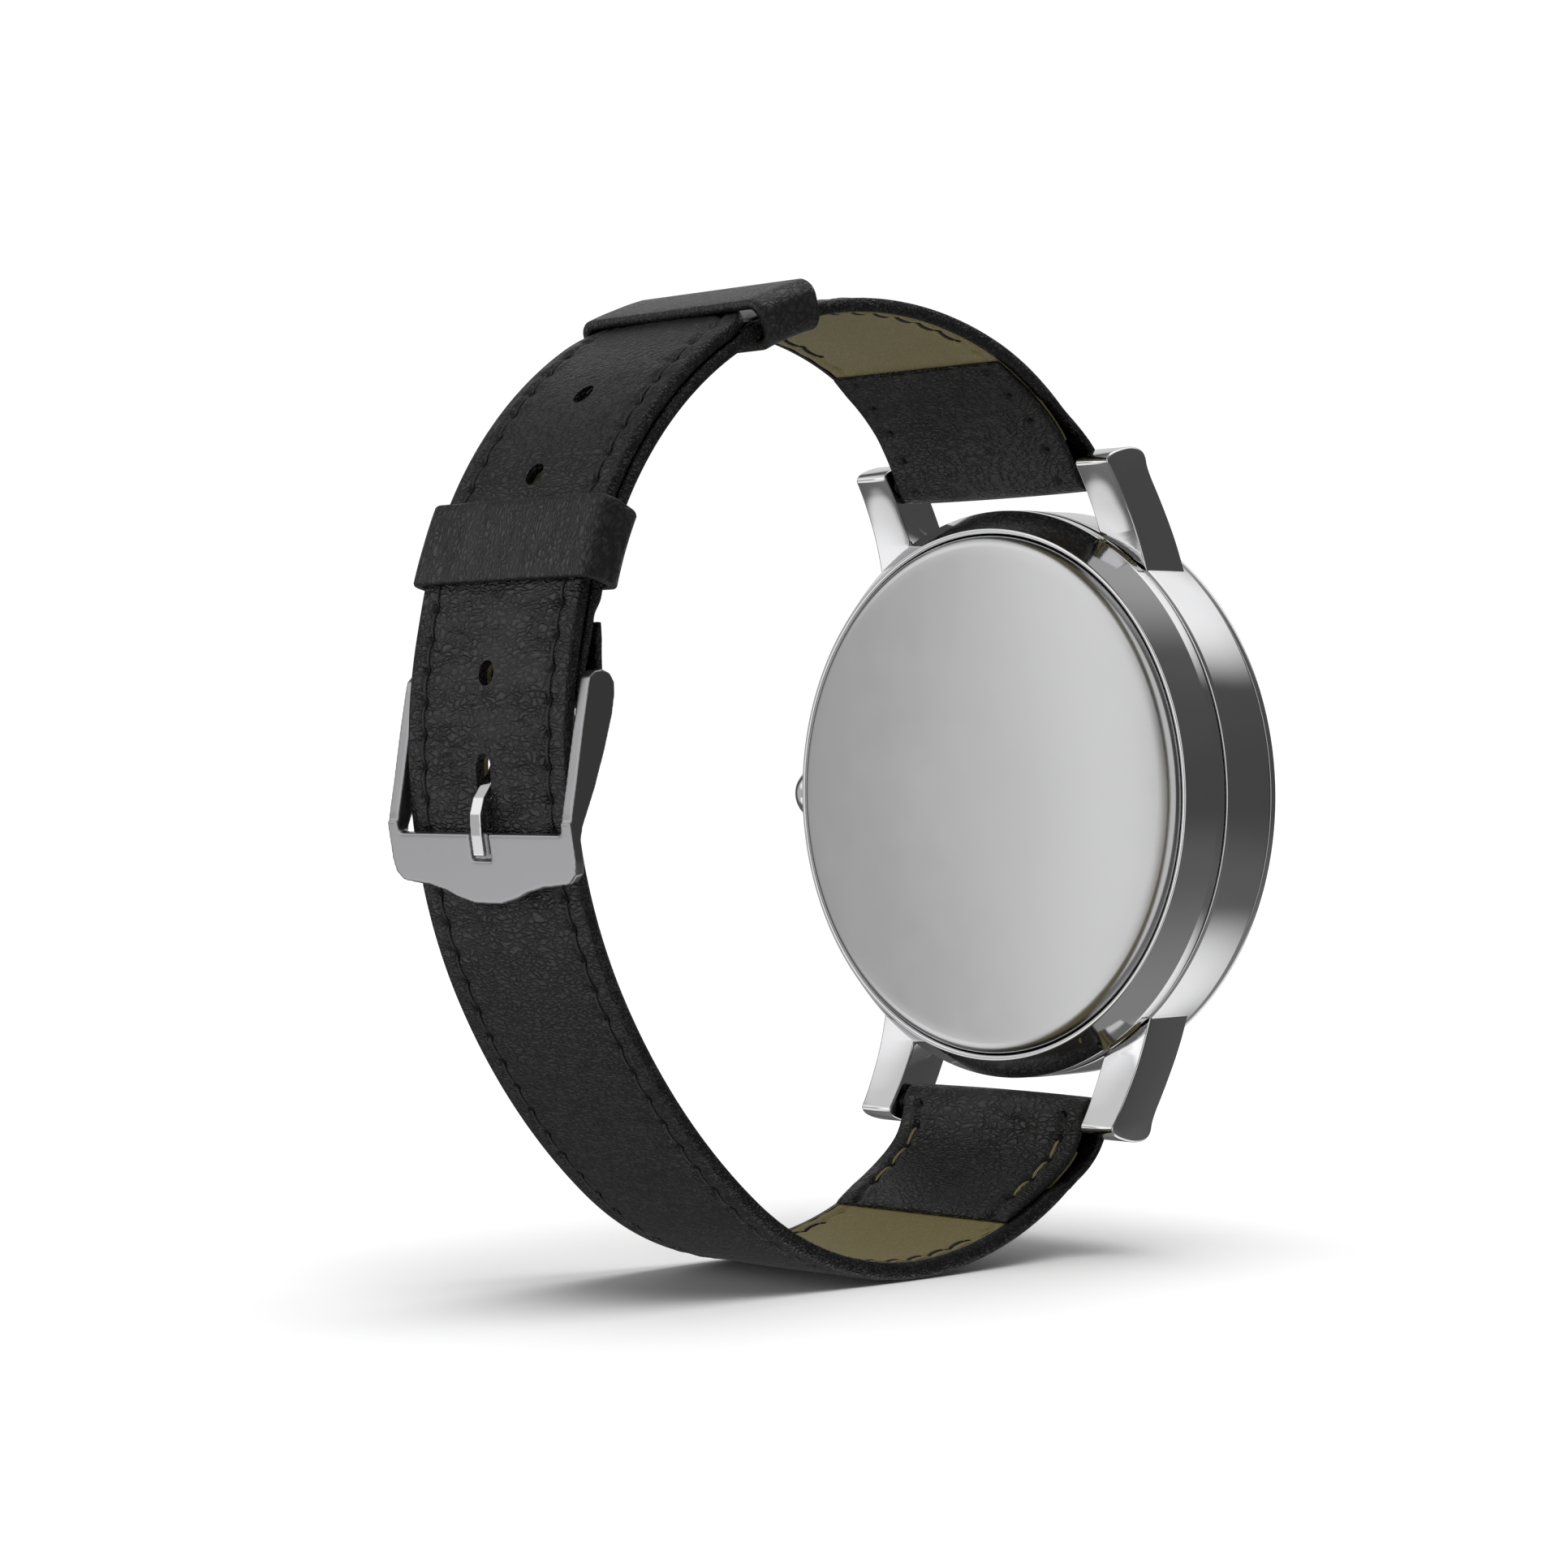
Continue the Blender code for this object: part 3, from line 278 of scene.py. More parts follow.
def thread(name, dark, light):
    """Twisted sewing thread."""
    made, tree, shader = shader_setup(name)
    place = millimetres(tree)
    twist = node(tree, "ShaderNodeTexWave", {"Vector": place, "Scale": 2.6, "Distortion": 1.5,
                                             "Detail": 1.0}, bands_direction="DIAGONAL")
    tree.links.new(tinted(tree, twist.outputs["Fac"], dark, light), shader.inputs["Base Color"])
    shader.inputs["Roughness"].default_value = 0.5
    bumped(tree, shader, twist.outputs["Fac"], 0.03)
    return made


def moulded(name, dark, light, roughness, metallic=0.0, grain=4.0, depth=0.008):
    """Plastic, paint or rubber with a slight mottle."""
    made, tree, shader = shader_setup(name)
    place = millimetres(tree)
    cloud = noise(tree, place, grain, 3.0)
    tree.links.new(tinted(tree, cloud, dark, light), shader.inputs["Base Color"])
    shader.inputs["Roughness"].default_value = roughness
    shader.inputs["Metallic"].default_value = metallic
    bumped(tree, shader, cloud, depth)
    return made


def crystal_glass():
    """Clear mineral glass with barely uneven polish."""
    made, tree, shader = shader_setup("clear_crystal")
    place = millimetres(tree)
    cloud = noise(tree, place, 0.3, 1.0)
    tree.links.new(tinted(tree, cloud, (0.95, 0.97, 0.98), (0.97, 0.98, 0.98)),
                   shader.inputs["Base Color"])
    tree.links.new(ranged(tree, cloud, 0.01, 0.03), shader.inputs["Roughness"])
    shader.inputs["Transmission Weight"].default_value = 1.0
    shader.inputs["IOR"].default_value = 1.45
    return made


MATERIALS = {
    "polished_steel": steel("polished_steel_fine", (0.74, 0.74, 0.75), (0.8, 0.8, 0.81),
                            0.05, 0.1, 7.0, 0.0006),
    "satin_steel": steel("satin_steel_fine", (0.42, 0.42, 0.43), (0.47, 0.47, 0.48),
                         0.27, 0.33, 14.0, 0.0025),
    "case_back": steel("blasted_steel", (0.6, 0.6, 0.605), (0.64, 0.64, 0.645),
                       0.2, 0.24, 16.0, 0.0015),
    "black_leather": leather("black_grained_leather", (0.003, 0.003, 0.0032),
                             (0.0062, 0.0062, 0.0063), 0.3, 0.42, 0.46, 0.09),
    "keeper_leather": leather("black_keeper_leather", (0.006, 0.006, 0.0062),
                              (0.02, 0.02, 0.02), 0.32, 0.45, 0.42, 0.06, (1.2, 0.6, 0.6)),
    "olive_lining": leather("olive_lining_leather", (0.135, 0.113, 0.048),
                            (0.185, 0.158, 0.075), 0.7, 0.85, 0.3, 0.03, (1, 1, 1)),
    "black_thread": thread("black_thread", (0.006, 0.006, 0.006), (0.025, 0.025, 0.025)),
    "olive_thread": thread("olive_thread", (0.12, 0.098, 0.038), (0.25, 0.21, 0.1)),
    "crystal": crystal_glass(),
    "rubber": moulded("black_rubber", (0.015, 0.015, 0.015), (0.03, 0.03, 0.03), 0.7),
    "white_dial": moulded("white_dial_paint", (0.78, 0.78, 0.76), (0.84, 0.84, 0.82), 0.35, 0.0,
                          9.0, 0.002),
    "brass": steel("movement_brass", (0.66, 0.5, 0.24), (0.78, 0.6, 0.3), 0.22, 0.34, 6.0, 0.002),
    "copper": steel("lacquered_copper", (0.6, 0.27, 0.12), (0.75, 0.36, 0.17), 0.2, 0.32, 6.0,
                    0.002),
    "dark_alloy": steel("dark_alloy_fine", (0.1, 0.1, 0.11), (0.16, 0.16, 0.17), 0.4, 0.5, 5.0,
                        0.004),
    "black_plastic": moulded("black_holder_plastic", (0.045, 0.045, 0.05), (0.07, 0.07, 0.075),
                             0.5),
    "green_board": moulded("green_board_mask", (0.012, 0.12, 0.05), (0.025, 0.18, 0.08), 0.35),
    # near-black plugs that paint shade into the stitch holes
    "painted_hole_shade": moulded("stitch_hole_painted_shade", (0.0006, 0.0006, 0.0006),
                          (0.0012, 0.0012, 0.0012), 0.95),
    "printed_black": moulded("printed_black", (0.012, 0.012, 0.012), (0.02, 0.02, 0.02), 0.45),
}


# ---------------------------------------------------------------- meshes

def piece(name, verts, faces, look, body="case", stands_for=(), sharp=None):
    """A mesh given in millimetres, finished, riding on a body."""
    mesh = bpy.data.meshes.new(name)
    mesh.from_pydata([tuple(value * MM for value in vert) for vert in verts], [], faces)
    bm = bmesh.new()
    bm.from_mesh(mesh)
    bmesh.ops.recalc_face_normals(bm, faces=bm.faces)
    if bm.calc_volume(signed=True) < 0:
        bmesh.ops.reverse_faces(bm, faces=bm.faces)
    bm.to_mesh(mesh)
    bm.free()
    return adopt(bpy.data.objects.new(name, mesh), look, body, stands_for, sharp)


def adopt(item, look, body="case", stands_for=(), sharp=None):
    """Give an object its finish, its body and the nodes it stands for."""
    if item.name not in bpy.context.scene.collection.objects:
        bpy.context.scene.collection.objects.link(item)
    item.data.shade_smooth()
    if sharp is not None:
        item.data.set_sharp_from_angle(angle=radians(sharp))
    item.data.materials.clear()
    item.data.materials.append(MATERIALS[look])
    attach(item, body)
    if stands_for:
        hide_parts(*stands_for)
    return item


def loft(rings, closed=True, capped=True):
    """Verts and faces of a skin over rings of equal length; the rings close on themselves."""
    count = len(rings[0])
    verts = [tuple(point) for ring in rings for point in ring]
    faces = []
    last = len(rings) if closed and not capped else len(rings) - 1
    for index in range(last):
        low, high = index * count, (index + 1) % len(rings) * count
        faces += [(low + k, low + (k + 1) % count, high + (k + 1) % count, high + k)
                  for k in range(count)]
    if capped:
        faces.append(tuple(range(count)))
        faces.append(tuple(range((len(rings) - 1) * count, len(rings) * count))[::-1])
    return verts, faces


def merged(parts):
    """Join (verts, faces) pairs into one."""
    verts, faces = [], []
    for some_verts, some_faces in parts:
        faces += [tuple(index + len(verts) for index in face) for face in some_faces]
        verts += some_verts
    return verts, faces


def filleted(profile, radius, closed=True):
    """Round each corner of a flat polyline with a small arc."""
    points, total = [], len(profile)
    for index in range(total):
        here = Vector(profile[index])
        if not closed and index in (0, total - 1):
            points.append(tuple(here))
            continue
        before, after = Vector(profile[index - 1]), Vector(profile[(index + 1) % total])
        reach = min(radius, (before - here).length * 0.45, (after - here).length * 0.45)
        start = here + (before - here).normalized() * reach
        stop = here + (after - here).normalized() * reach
        for step in range(FILLET_STEPS + 1):
            share = step / FILLET_STEPS
            points.append(tuple(start * (1 - share) ** 2 + here * 2 * share * (1 - share)
                                + stop * share ** 2))
    return points


def turned(profile, steps=ROUND, axis="Y", centre=(0, 0, 0)):
    """A profile of (radius, along) points spun round an axis."""
    rings = []
    for step in range(steps):
        angle = 2 * pi * step / steps
        ring = []
        for radius, along in profile:
            a, b = radius * cos(angle), radius * sin(angle)
            point = (a, along, b) if axis == "Y" else (along, a, b)
            ring.append(tuple(value + shift for value, shift in zip(point, centre)))
        rings.append(ring)
    return loft(rings, closed=True, capped=False)


def welded(item):
    """Merge the axis points of a turned solid."""
    bm = bmesh.new()
    bm.from_mesh(item.data)
    bmesh.ops.remove_doubles(bm, verts=bm.verts, dist=WELD_GAP * MM)
    bmesh.ops.dissolve_degenerate(bm, edges=bm.edges, dist=WELD_GAP * MM / 10)
    bmesh.ops.recalc_face_normals(bm, faces=bm.faces)
    bm.to_mesh(item.data)
    bm.free()
    return item


def cut(item, tool, solver="EXACT"):
    """Apply a Boolean and drop the tool."""
    modifier = item.modifiers.new("cut", "BOOLEAN")
    modifier.operation = "DIFFERENCE"
    modifier.solver = solver
    modifier.object = tool
    bpy.context.view_layer.update()
    evaluated = item.evaluated_get(bpy.context.evaluated_depsgraph_get())
    mesh = bpy.data.meshes.new_from_object(evaluated)
    item.modifiers.clear()
    item.data = mesh
    bpy.data.objects.remove(tool, do_unlink=True)


def loose(verts, faces, name="tool"):
    """A plain object in millimetres that isn't a piece, for cutting."""
    mesh = bpy.data.meshes.new(name)
    mesh.from_pydata([tuple(value * MM for value in vert) for vert in verts], [], faces)
    bm = bmesh.new()
    bm.from_mesh(mesh)
    bmesh.ops.remove_doubles(bm, verts=bm.verts, dist=0.0005 * MM)
    bmesh.ops.recalc_face_normals(bm, faces=bm.faces)
    bm.to_mesh(mesh)
    bm.free()
    item = bpy.data.objects.new(name, mesh)
    bpy.context.scene.collection.objects.link(item)
    return item


# ---------------------------------------------------------------- case

def build_case():
    """Case back, back ring, case wall, lugs, bezel and crystal."""
    back = [(0, 0), (5, -0.01), (8, -0.035), (11, -0.085), (14, -0.17), (16.5, -0.27),
            (18.5, -0.38), (19.4, -0.44), (19.75, -0.5), (20.02, -0.62), (20.2, -0.8),
            (20.28, -1.0), (20.3, -1.2), (20.3, -1.35), (18.55, -1.35), (18.55, -3.6),
            (17.85, -3.6), (17.85, -1.0), (0, -1.0)]
    verts, faces = turned(back)
    welded(piece("case_back_fine", verts, faces, "case_back",
                 stands_for=("case_back",), sharp=40))
    ring = filleted([(20.5, -0.9), (20.8, -0.9), (22.3, -2.8), (22.3, -3.7), (20.6, -3.7),
                     (20.6, -5.1), (19.1, -5.1), (19.1, -1.75), (20.4, -1.75), (20.4, -1.05)],
                    0.09)
    verts, faces = turned(ring)
    piece("back_ring_fine", verts, faces, "polished_steel",
          stands_for=("back_ring",), sharp=40)
    body = filleted([(20.9, BODY_BACK_Y), (CASE_R - 0.2, BODY_BACK_Y), (CASE_R, BODY_BACK_Y - 0.2),
                     (CASE_R, BODY_FRONT_Y + 0.3), (CASE_R - 0.3, BODY_FRONT_Y),
                     (20.9, BODY_FRONT_Y), (20.9, -8.0), (19.3, -8.0), (19.3, -5.3),
                     (20.9, -5.3)], 0.12)
    verts, faces = turned(body)
    piece("mid_case_wall", verts, faces, "polished_steel",
          stands_for=("mid_case",), sharp=40)
    for side in (-1, 1):
        for end in (-1, 1):
            build_lug(side, end)
    bezel = filleted([(20.6, -8.15), (20.6, -9.2), (22.05, -9.2), (22.25, -9.4), (22.25, -9.6),
                      (21.0, -10.4), (20.0, -10.4), (20.0, -9.25), (18.9, -9.25),
                      (18.9, -8.15)], 0.08)
    verts, faces = turned(bezel)
    piece("bezel_fine", verts, faces, "polished_steel",
          stands_for=("bezel",), sharp=40)
    glass = filleted([(0, -9.35), (19.3, -9.35), (19.3, -10.3), (19.0, CRYSTAL_Y),
                      (0, CRYSTAL_Y)], 0.06, closed=False)
    verts, faces = turned(glass)
    welded(piece("crystal_fine", verts, faces, "crystal",
                 stands_for=("crystal",), sharp=40))


def lug_outline():
    """Side outline of the upper lugs with its corners cut round."""
    points = [(-4.4, 15.5), (-3.9, 17.8), (-2.95, 20.7), (-1.6, 23.4), (-0.75, 24.8),
              (-0.35, 25.35), (-0.9, 26.0), (-2.9, 26.55), (-4.2, 26.5), (-4.9, 26.0), (-5.0, 24.9),
              (-6.25, 22.6), (-7.6, 19.7), (-8.4, 17.2), (-8.9, 15.5)]
    for _ in range(3):
        rounder = [points[0]]
        for (a, b), (c, d) in zip(points, points[1:]):
            rounder += [(0.75 * a + 0.25 * c, 0.75 * b + 0.25 * d),
                        (0.25 * a + 0.75 * c, 0.25 * b + 0.75 * d)]
        points = [*rounder, points[-1]]
    return points


def build_lug(side, end):
    """One flared lug, cut to meet the round case."""
    outline = [(y, z * end) for y, z in lug_outline()]
    low, high = sorted((side * LUG_IN_X, side * LUG_OUT_X))
    bm = bmesh.new()
    verts = [bm.verts.new((low * MM, y * MM, z * MM)) for y, z in outline]
    face = bm.faces.new(verts)
    face.normal_update()
    made = bmesh.ops.extrude_face_region(bm, geom=[face])["geom"]
    bmesh.ops.translate(bm, vec=((high - low) * MM, 0, 0),
                        verts=[v for v in made if isinstance(v, bmesh.types.BMVert)])
    bmesh.ops.recalc_face_normals(bm, faces=bm.faces)
    rims = [edge for edge in bm.edges if len({round(f.normal.x) for f in edge.link_faces}) > 1]
    bmesh.ops.bevel(bm, geom=rims, offset=LUG_BEVEL * MM, segments=4, profile=0.5, affect="EDGES")
    for vert in bm.verts:
        if abs(vert.co.x) > (LUG_IN_X + LUG_OUT_X) / 2 * MM:
            vert.co.x += side * LUG_FLARE * (LUG_TIP_Z * MM - abs(vert.co.z))
    bmesh.ops.triangulate(bm, faces=[face for face in bm.faces if len(face.verts) > 4])
    name = f"lug_{'upper' if end > 0 else 'lower'}_{'left' if side < 0 else 'right'}"
    mesh = bpy.data.meshes.new(name)
    bm.to_mesh(mesh)
    bm.free()
    item = bpy.data.objects.new(name, mesh)
    bpy.context.scene.collection.objects.link(item)
    core = [(0, -12.0), (LUG_ROOT_R, -12.0), (LUG_ROOT_R, -3.85), (CASE_R + 0.15, -3.85),
            (CASE_R + 0.15, 4.0), (0, 4.0)]
    cut(item, loose(*turned(core, 192)), "MANIFOLD")
    adopt(item, "polished_steel", sharp=30)


def build_crown():
    """The domed crown, hollow round its tube."""
    profile = [(0, 25.8), (0.7, 25.77), (1.3, 25.62), (1.75, 25.35), (2.05, 24.95), (2.2, 24.5),
               (2.25, 24.1), (2.25, 23.65), (2.2, 23.45), (2.05, 23.3), (1.25, 23.3), (1.25, 24.5),
               (0.45, 24.5), (0.45, 25.2), (0, 25.2)]
    verts, faces = turned(profile, axis="X", centre=(0, CROWN_Y, 0))
    welded(piece("crown_domed", verts, faces, "polished_steel", "crown_knob",
                 ("crown",), 50))


# ---------------------------------------------------------------- dial

def block(low, high, turn=0.0, centre=(0.0, 0.0), ease=0.04):
    """A small box with its front rim eased, turned about a Y axis through centre (x, z)."""
    x0, y0, z0 = low
    x1, y1, z1 = high
    rings = []
    for y, inset in ((y1, 0.0), (y0 + ease, 0.0), (y0, ease)):
        corners = ((x0 + inset, z0 + inset), (x1 - inset, z0 + inset), (x1 - inset, z1 - inset),
                   (x0 + inset, z1 - inset))
        rings.append([(centre[0] + x * cos(turn) + z * sin(turn), y,
                       centre[1] - x * sin(turn) + z * cos(turn)) for x, z in corners])
    return loft(rings)


def build_dial():
    """Dial disc, printed minute and activity ticks, and hour batons."""
    profile = [(0.95, -7.5), (18.9, -7.5), (18.9, DIAL_FACE_Y), (16.75, DIAL_FACE_Y),
               (16.7, DIAL_FACE_Y + 0.02), (0.95, DIAL_FACE_Y)]
    verts, faces = turned(profile)
    piece("dial_fine", verts, faces, "white_dial", stands_for=("dial",),
          sharp=30)
    face = DIAL_FACE_Y - 0.02
    ticks = []
    for minute in range(60):
        if minute % 5:
            ticks.append(block((-TICK_HALF_W, face - PRINT_RISE, 16.85),
                               (TICK_HALF_W, face + PRINT_RISE / 2, 16.9), radians(6 * minute),
                               ease=0.01))
    for step in range(21):
        long = step % 5 == 0
        ticks.append(block((-SMALL_TICK_HALF_W, face - PRINT_RISE, 3.3 if long else 3.7),
                           (SMALL_TICK_HALF_W, face + PRINT_RISE / 2, 4.1),
                           radians(-120 + 12 * step), (0.0, ACTIVITY_Z), 0.01))
    verts, faces = merged(ticks)
    piece("dial_printing", verts, faces, "printed_black")
    batons = []
    for hour in [*range(6), *range(7, 12)]:
        inner = 13.0 if hour % 3 == 0 else 14.2
        batons.append(block((-BATON_HALF_W, face - 0.24, inner), (BATON_HALF_W, face + 0.01, 16.3),
                            radians(30 * hour), ease=0.12))
    verts, faces = merged(batons)
    piece("hour_batons", verts, faces, "polished_steel",
          stands_for=("hour_markers",), sharp=20)


# ---------------------------------------------------------------- strap routes

def walk(start, heading, spin, arcs):
    """Stations (point, outward normal, distance) along tangent arcs (length, radius)."""
    stations = []
    point, travelled = Vector(start), 0.0
    for length, radius in arcs:
        outward = Vector((sin(heading), -cos(heading))) * spin
        centre = point - outward * radius
        count = max(2, ceil(length / STEP))
        for index in range(0 if not stations else 1, count + 1):
            turn = heading + spin * length * index / count / radius
            normal = Vector((sin(turn), -cos(turn))) * spin
            stations.append((centre + normal * radius, normal, travelled + length * index / count))
        heading += spin * length / radius
        travelled += length
        point = stations[-1][0]
    return stations, heading


def route_to_lug(start, heading, spin, arcs, bar):
    """Walk the arcs, close on the lug's bar, and count distances from that bar."""
    stations, last = walk(start, heading, spin, arcs)
    across = Vector(bar) - stations[-1][0]
    outward = Vector((sin(last), -cos(last))) * spin
    radius = across.length_squared / (-2 * across.dot(outward))
    length = 2 * radius * asin(across.length / (2 * radius))
    stations, _ = walk(start, heading, spin, [*arcs, (length, radius)])
    total = stations[-1][2]
    return [(point, normal, total - along) for point, normal, along in reversed(stations)]


def short_route():
    """Stations of the 12 o'clock strap from its lug's bar."""
    start = (KEEPER_AXIS[0] + SHORT_R, KEEPER_AXIS[1])
    return route_to_lug(start, pi / 2, 1, [(SHORT_R * radians(SHORT_TURN), SHORT_R)], LUG_BAR)


def long_route():
    """Stations of the 6 o'clock strap from its lug's bar."""
    tip, leave = radians(TIP_ANGLE), radians(LEAVE_ANGLE)
    start = (KEEPER_AXIS[0] + LONG_R * cos(tip), KEEPER_AXIS[1] + LONG_R * sin(tip))
    arcs = [(LONG_R * (tip - leave), LONG_R), *LONG_ARCS]
    return route_to_lug(start, tip - pi / 2, -1, arcs, (LUG_BAR[0], -LUG_BAR[1]))


def opening(distance, reach):
    """1 at a bar, falling smoothly to 0 at reach, where the layers lie together."""
    share = min(max(distance / reach, 0.0), 1.0)
    return 1 - share * share * (3 - 2 * share)


def half_width(distance, taper_end, tip=None):
    """Half the strap's width at a distance, with its taper and its round tip."""
    share = min(max((distance - 4.0) / (taper_end - 4.0), 0.0), 1.0)
    width = STRAP_W + (STRAP_END_W - STRAP_W) * share
    if tip is not None and distance > tip - TIP_ROUND:
        width *= sqrt(max(1 - ((distance - tip + TIP_ROUND) / TIP_ROUND) ** 2, 0.004))
    return width / 2


def half_turn(centre, normal, ahead, radius, angles):
    """Points of a turn round a bar."""
    return [centre + (normal * cos(a) + ahead * sin(a)) * radius for a in angles]


class Ribbon:
    """Stations of a leather band.

    Each row is (hidden point, shown point, half width, distance, seam pitch, skirt), where the
    skirt is how far the edges reach below the hidden face.
    """

    def __init__(self, trim=0.0):
        self.rows = []
        self.trim = trim

    def add(self, hidden, shown, half, along, pitch, skirt=0.0):
        """Add a row unless it falls on the last one."""
        if self.rows and (self.rows[-1][1] - shown).length < MIN_ROW_GAP:
            return
        self.rows.append((hidden, shown, half, along, pitch, skirt))

    def stretch(self, pitch):
        """Arrays (along, shown y, shown z, normal y, normal z, half) of one seam's stations."""
        rows = sorted((row for row in self.rows if row[4] == pitch), key=lambda row: row[3])
        out = []
        for hidden, shown, half, along, *_ in rows:
            normal = (shown - hidden).normalized()
            out.append((along, shown.x, shown.y, normal.x, normal.y, half))
        return np.array(out).T


EDGE_OFFSETS = (0.34, 0.6, 0.95, 1.25, 1.5, 1.68, 1.8, 1.9, 2.0, 2.12, 2.3, 2.6, 3.1, 4.2)
MIDDLE_SHARES = (0.75, 0.4, 0.0, -0.4, -0.75)
UNDER_SHARES = (0.9, 0.75, 0.4, 0.0, -0.4, -0.75, -0.9)
SKIRT_W = 0.35


def seam_height(inset, along, pitch):
    """How far the shown face lies above flat at an inset from the edge."""
    seam = inset - SEAM_INSET
    gap = ((along / pitch + 0.5) % 1.0 - 0.5) * pitch
    if pitch == UPPER_PATCH_PITCH:
        return -0.3 * np.exp(-(seam ** 2 + gap ** 2) / 0.3 ** 2)
    height = -0.12 * np.exp(-(seam / 0.22) ** 2)
    height -= 0.3 * np.exp(-(seam ** 2 + gap ** 2) / 0.3 ** 2)
    height -= 0.12 * np.exp(-(seam / 0.75) ** 2) * np.exp(-(gap / 0.45) ** 2)
    height += 0.07 * np.exp(-((seam - 0.62) / 0.35) ** 2) * (1 - np.exp(-(gap / 0.6) ** 2))
    height += 0.1 * np.exp(-((seam + 0.7) / 0.4) ** 2) * (1 - 0.7 * np.exp(-(gap / 0.6) ** 2))
    return height


def ribbon_ring(row, trim, crown):
    """A closed cross-section with rounded edges, a crowned face and sunk seams."""
    hidden, shown, half, along, pitch, skirt = row
    across = shown - hidden
    thick = across.length
    across = across / thick
    own = half - trim
    squeeze = min(1.0, half / 5.0)
    edge = min(thick / 2, 0.45) * 0.9
    flat = own - edge
    top = []
    for inset in EDGE_OFFSETS:
        x = min(half - inset * squeeze, flat)
        bulge = crown * (1 - (x / half) ** 2) * squeeze
        top.append((x, thick + bulge + (seam_height(inset, along, pitch) if pitch else 0.0)))
    inner = half - EDGE_OFFSETS[-1] * squeeze
    middle = [(-inner * share, thick + crown * (1 - (inner * share / half) ** 2) * squeeze)
              for share in MIDDLE_SHARES]
    side = []
    for step in range(1, 8):
        turn = pi / 2 - pi * step / 8
        reach = (thick + skirt) / 2
        side.append((flat + edge * cos(turn), reach - skirt + reach * sin(turn)))
    side += [(flat, -skirt), (flat - SKIRT_W * squeeze, -skirt),
             (flat - (SKIRT_W + 0.04) * squeeze, 0.0)]
    under = [(flat * share * 0.9, 0.0) for share in UNDER_SHARES]
    outline = [(-x, level) for x, level in top] + middle + top[::-1] + side + under
    outline += [(-x, level) for x, level in side[::-1]]
    ring = []
    for x, level in outline:
        point = hidden + across * level
        ring.append((x, point.x, point.y))
    return ring


def seam_thread(ribbon, pitch, span):
    """One stitch between each two holes of a seam, on both edges."""
    order, *table = ribbon.stretch(pitch)
    low, high = max(order.min() + 1.2, span[0]), min(order.max() - 1.0, span[1])
    parts = []
    for index in range(ceil(low / pitch), int(high / pitch)):
        for sign in (-1, 1):
            rings = []
            for step in range(THREAD_STEPS + 1):
                share = step / THREAD_STEPS
                along = (index + 0.08 + 0.84 * share) * pitch
                y, z, ny, nz, half = (np.interp(along, order, row) for row in table)
                arch = sin(pi * share) ** 0.5
                height = -0.2 + 0.2 * arch
                size = THREAD_R * (0.65 + 0.35 * arch)
                x = sign * (half - SEAM_INSET + 0.07 * (share - 0.5))
                ring = []
                for k in range(THREAD_SIDES):
                    turn = 2 * pi * k / THREAD_SIDES
                    rise = height + size * 0.8 * sin(turn)
                    ring.append((x + size * cos(turn), y + ny * rise, z + nz * rise))
                rings.append(ring)
            parts.append(loft(rings))
    return merged(parts)


def seam_hole_shade_plugs(ribbon, pitch, span):
    """A dark plug low in each stitch hole of a seam, on both edges, as painted shade in the hole.
    """
    order, *table = ribbon.stretch(pitch)
    low, high = max(order.min() + 1.2, span[0]), min(order.max() - 1.0, span[1])
    parts = []
    for index in range(ceil(low / pitch), int(high / pitch) + 1):
        y, z, ny, nz, half = (np.interp(index * pitch, order, row) for row in table)
        for sign in (-1, 1):
            rings = []
            for depth, size in PLUG_RINGS:
                ring = []
                for k in range(PLUG_SIDES):
                    turn = 2 * pi * k / PLUG_SIDES
                    x, run = size * cos(turn), size * sin(turn)
                    ring.append((sign * (half - SEAM_INSET) + x, y + ny * depth - nz * run,
                                 z + nz * depth + ny * run))
                rings.append(ring)
            parts.append(loft(rings))
    return merged(parts)


def eased_end(distance, reach=1.4):
    """Share of the full thickness at a distance from a thinned end."""
    return min(1.0, 0.18 + 0.82 * sqrt(min(distance / reach, 1.0)))


def lug_ribbon(ribbon, stations, patch_pitch, taper_end):
    """Add the wrap patch and the turn round the lug's bar."""
    bar, normal, _ = stations[0]
    back = (bar - stations[1][0]).normalized()
    base = -(STRAP_T / 2 + LAYER)
    patch = [row for row in stations if row[2] <= PATCH_LENGTH + 0.01]
    for point, side, along in patch[::-1]:
        thin = eased_end(PATCH_LENGTH - along, 2.2)
        gap = base - LOOP_EXTRA * opening(along, 6.0)
        inset = 0.25 + 0.35 * min(along / PATCH_LENGTH, 1.0)
        ribbon.add(point + side * gap, point + side * (gap - LEATHER_T * thin),
                   half_width(along, taper_end) - inset, along, patch_pitch)
    angles = [pi - pi * step / TURN_STEPS for step in range(1, TURN_STEPS)]
    inner = half_turn(bar, normal, back, LOOP_R - LEATHER_T, angles)
    outside = half_turn(bar, normal, back, LOOP_R, angles)
    for step, (hidden, shown) in enumerate(zip(inner, outside)):
        half = STRAP_W / 2 - 0.25 * (1 - step / (TURN_STEPS - 1))
        ribbon.add(hidden, shown, half, -1.0 - step, None)


def lining_ribbon(stations, low, high, taper_end, tip=None):
    """The lining: shown face towards the wrist."""
    ribbon = Ribbon(LINING_TRIM)
    top = STRAP_T / 2 - LEATHER_T - LAYER
    for point, normal, along in stations:
        half = half_width(along, taper_end, tip)
        if low <= along <= high and half > LINING_TRIM + 0.6:
            seam = OUTER_PITCH if along > PATCH_LENGTH else None
            ribbon.add(point + normal * top, point - normal * STRAP_T / 2, half, along, seam)
    return ribbon


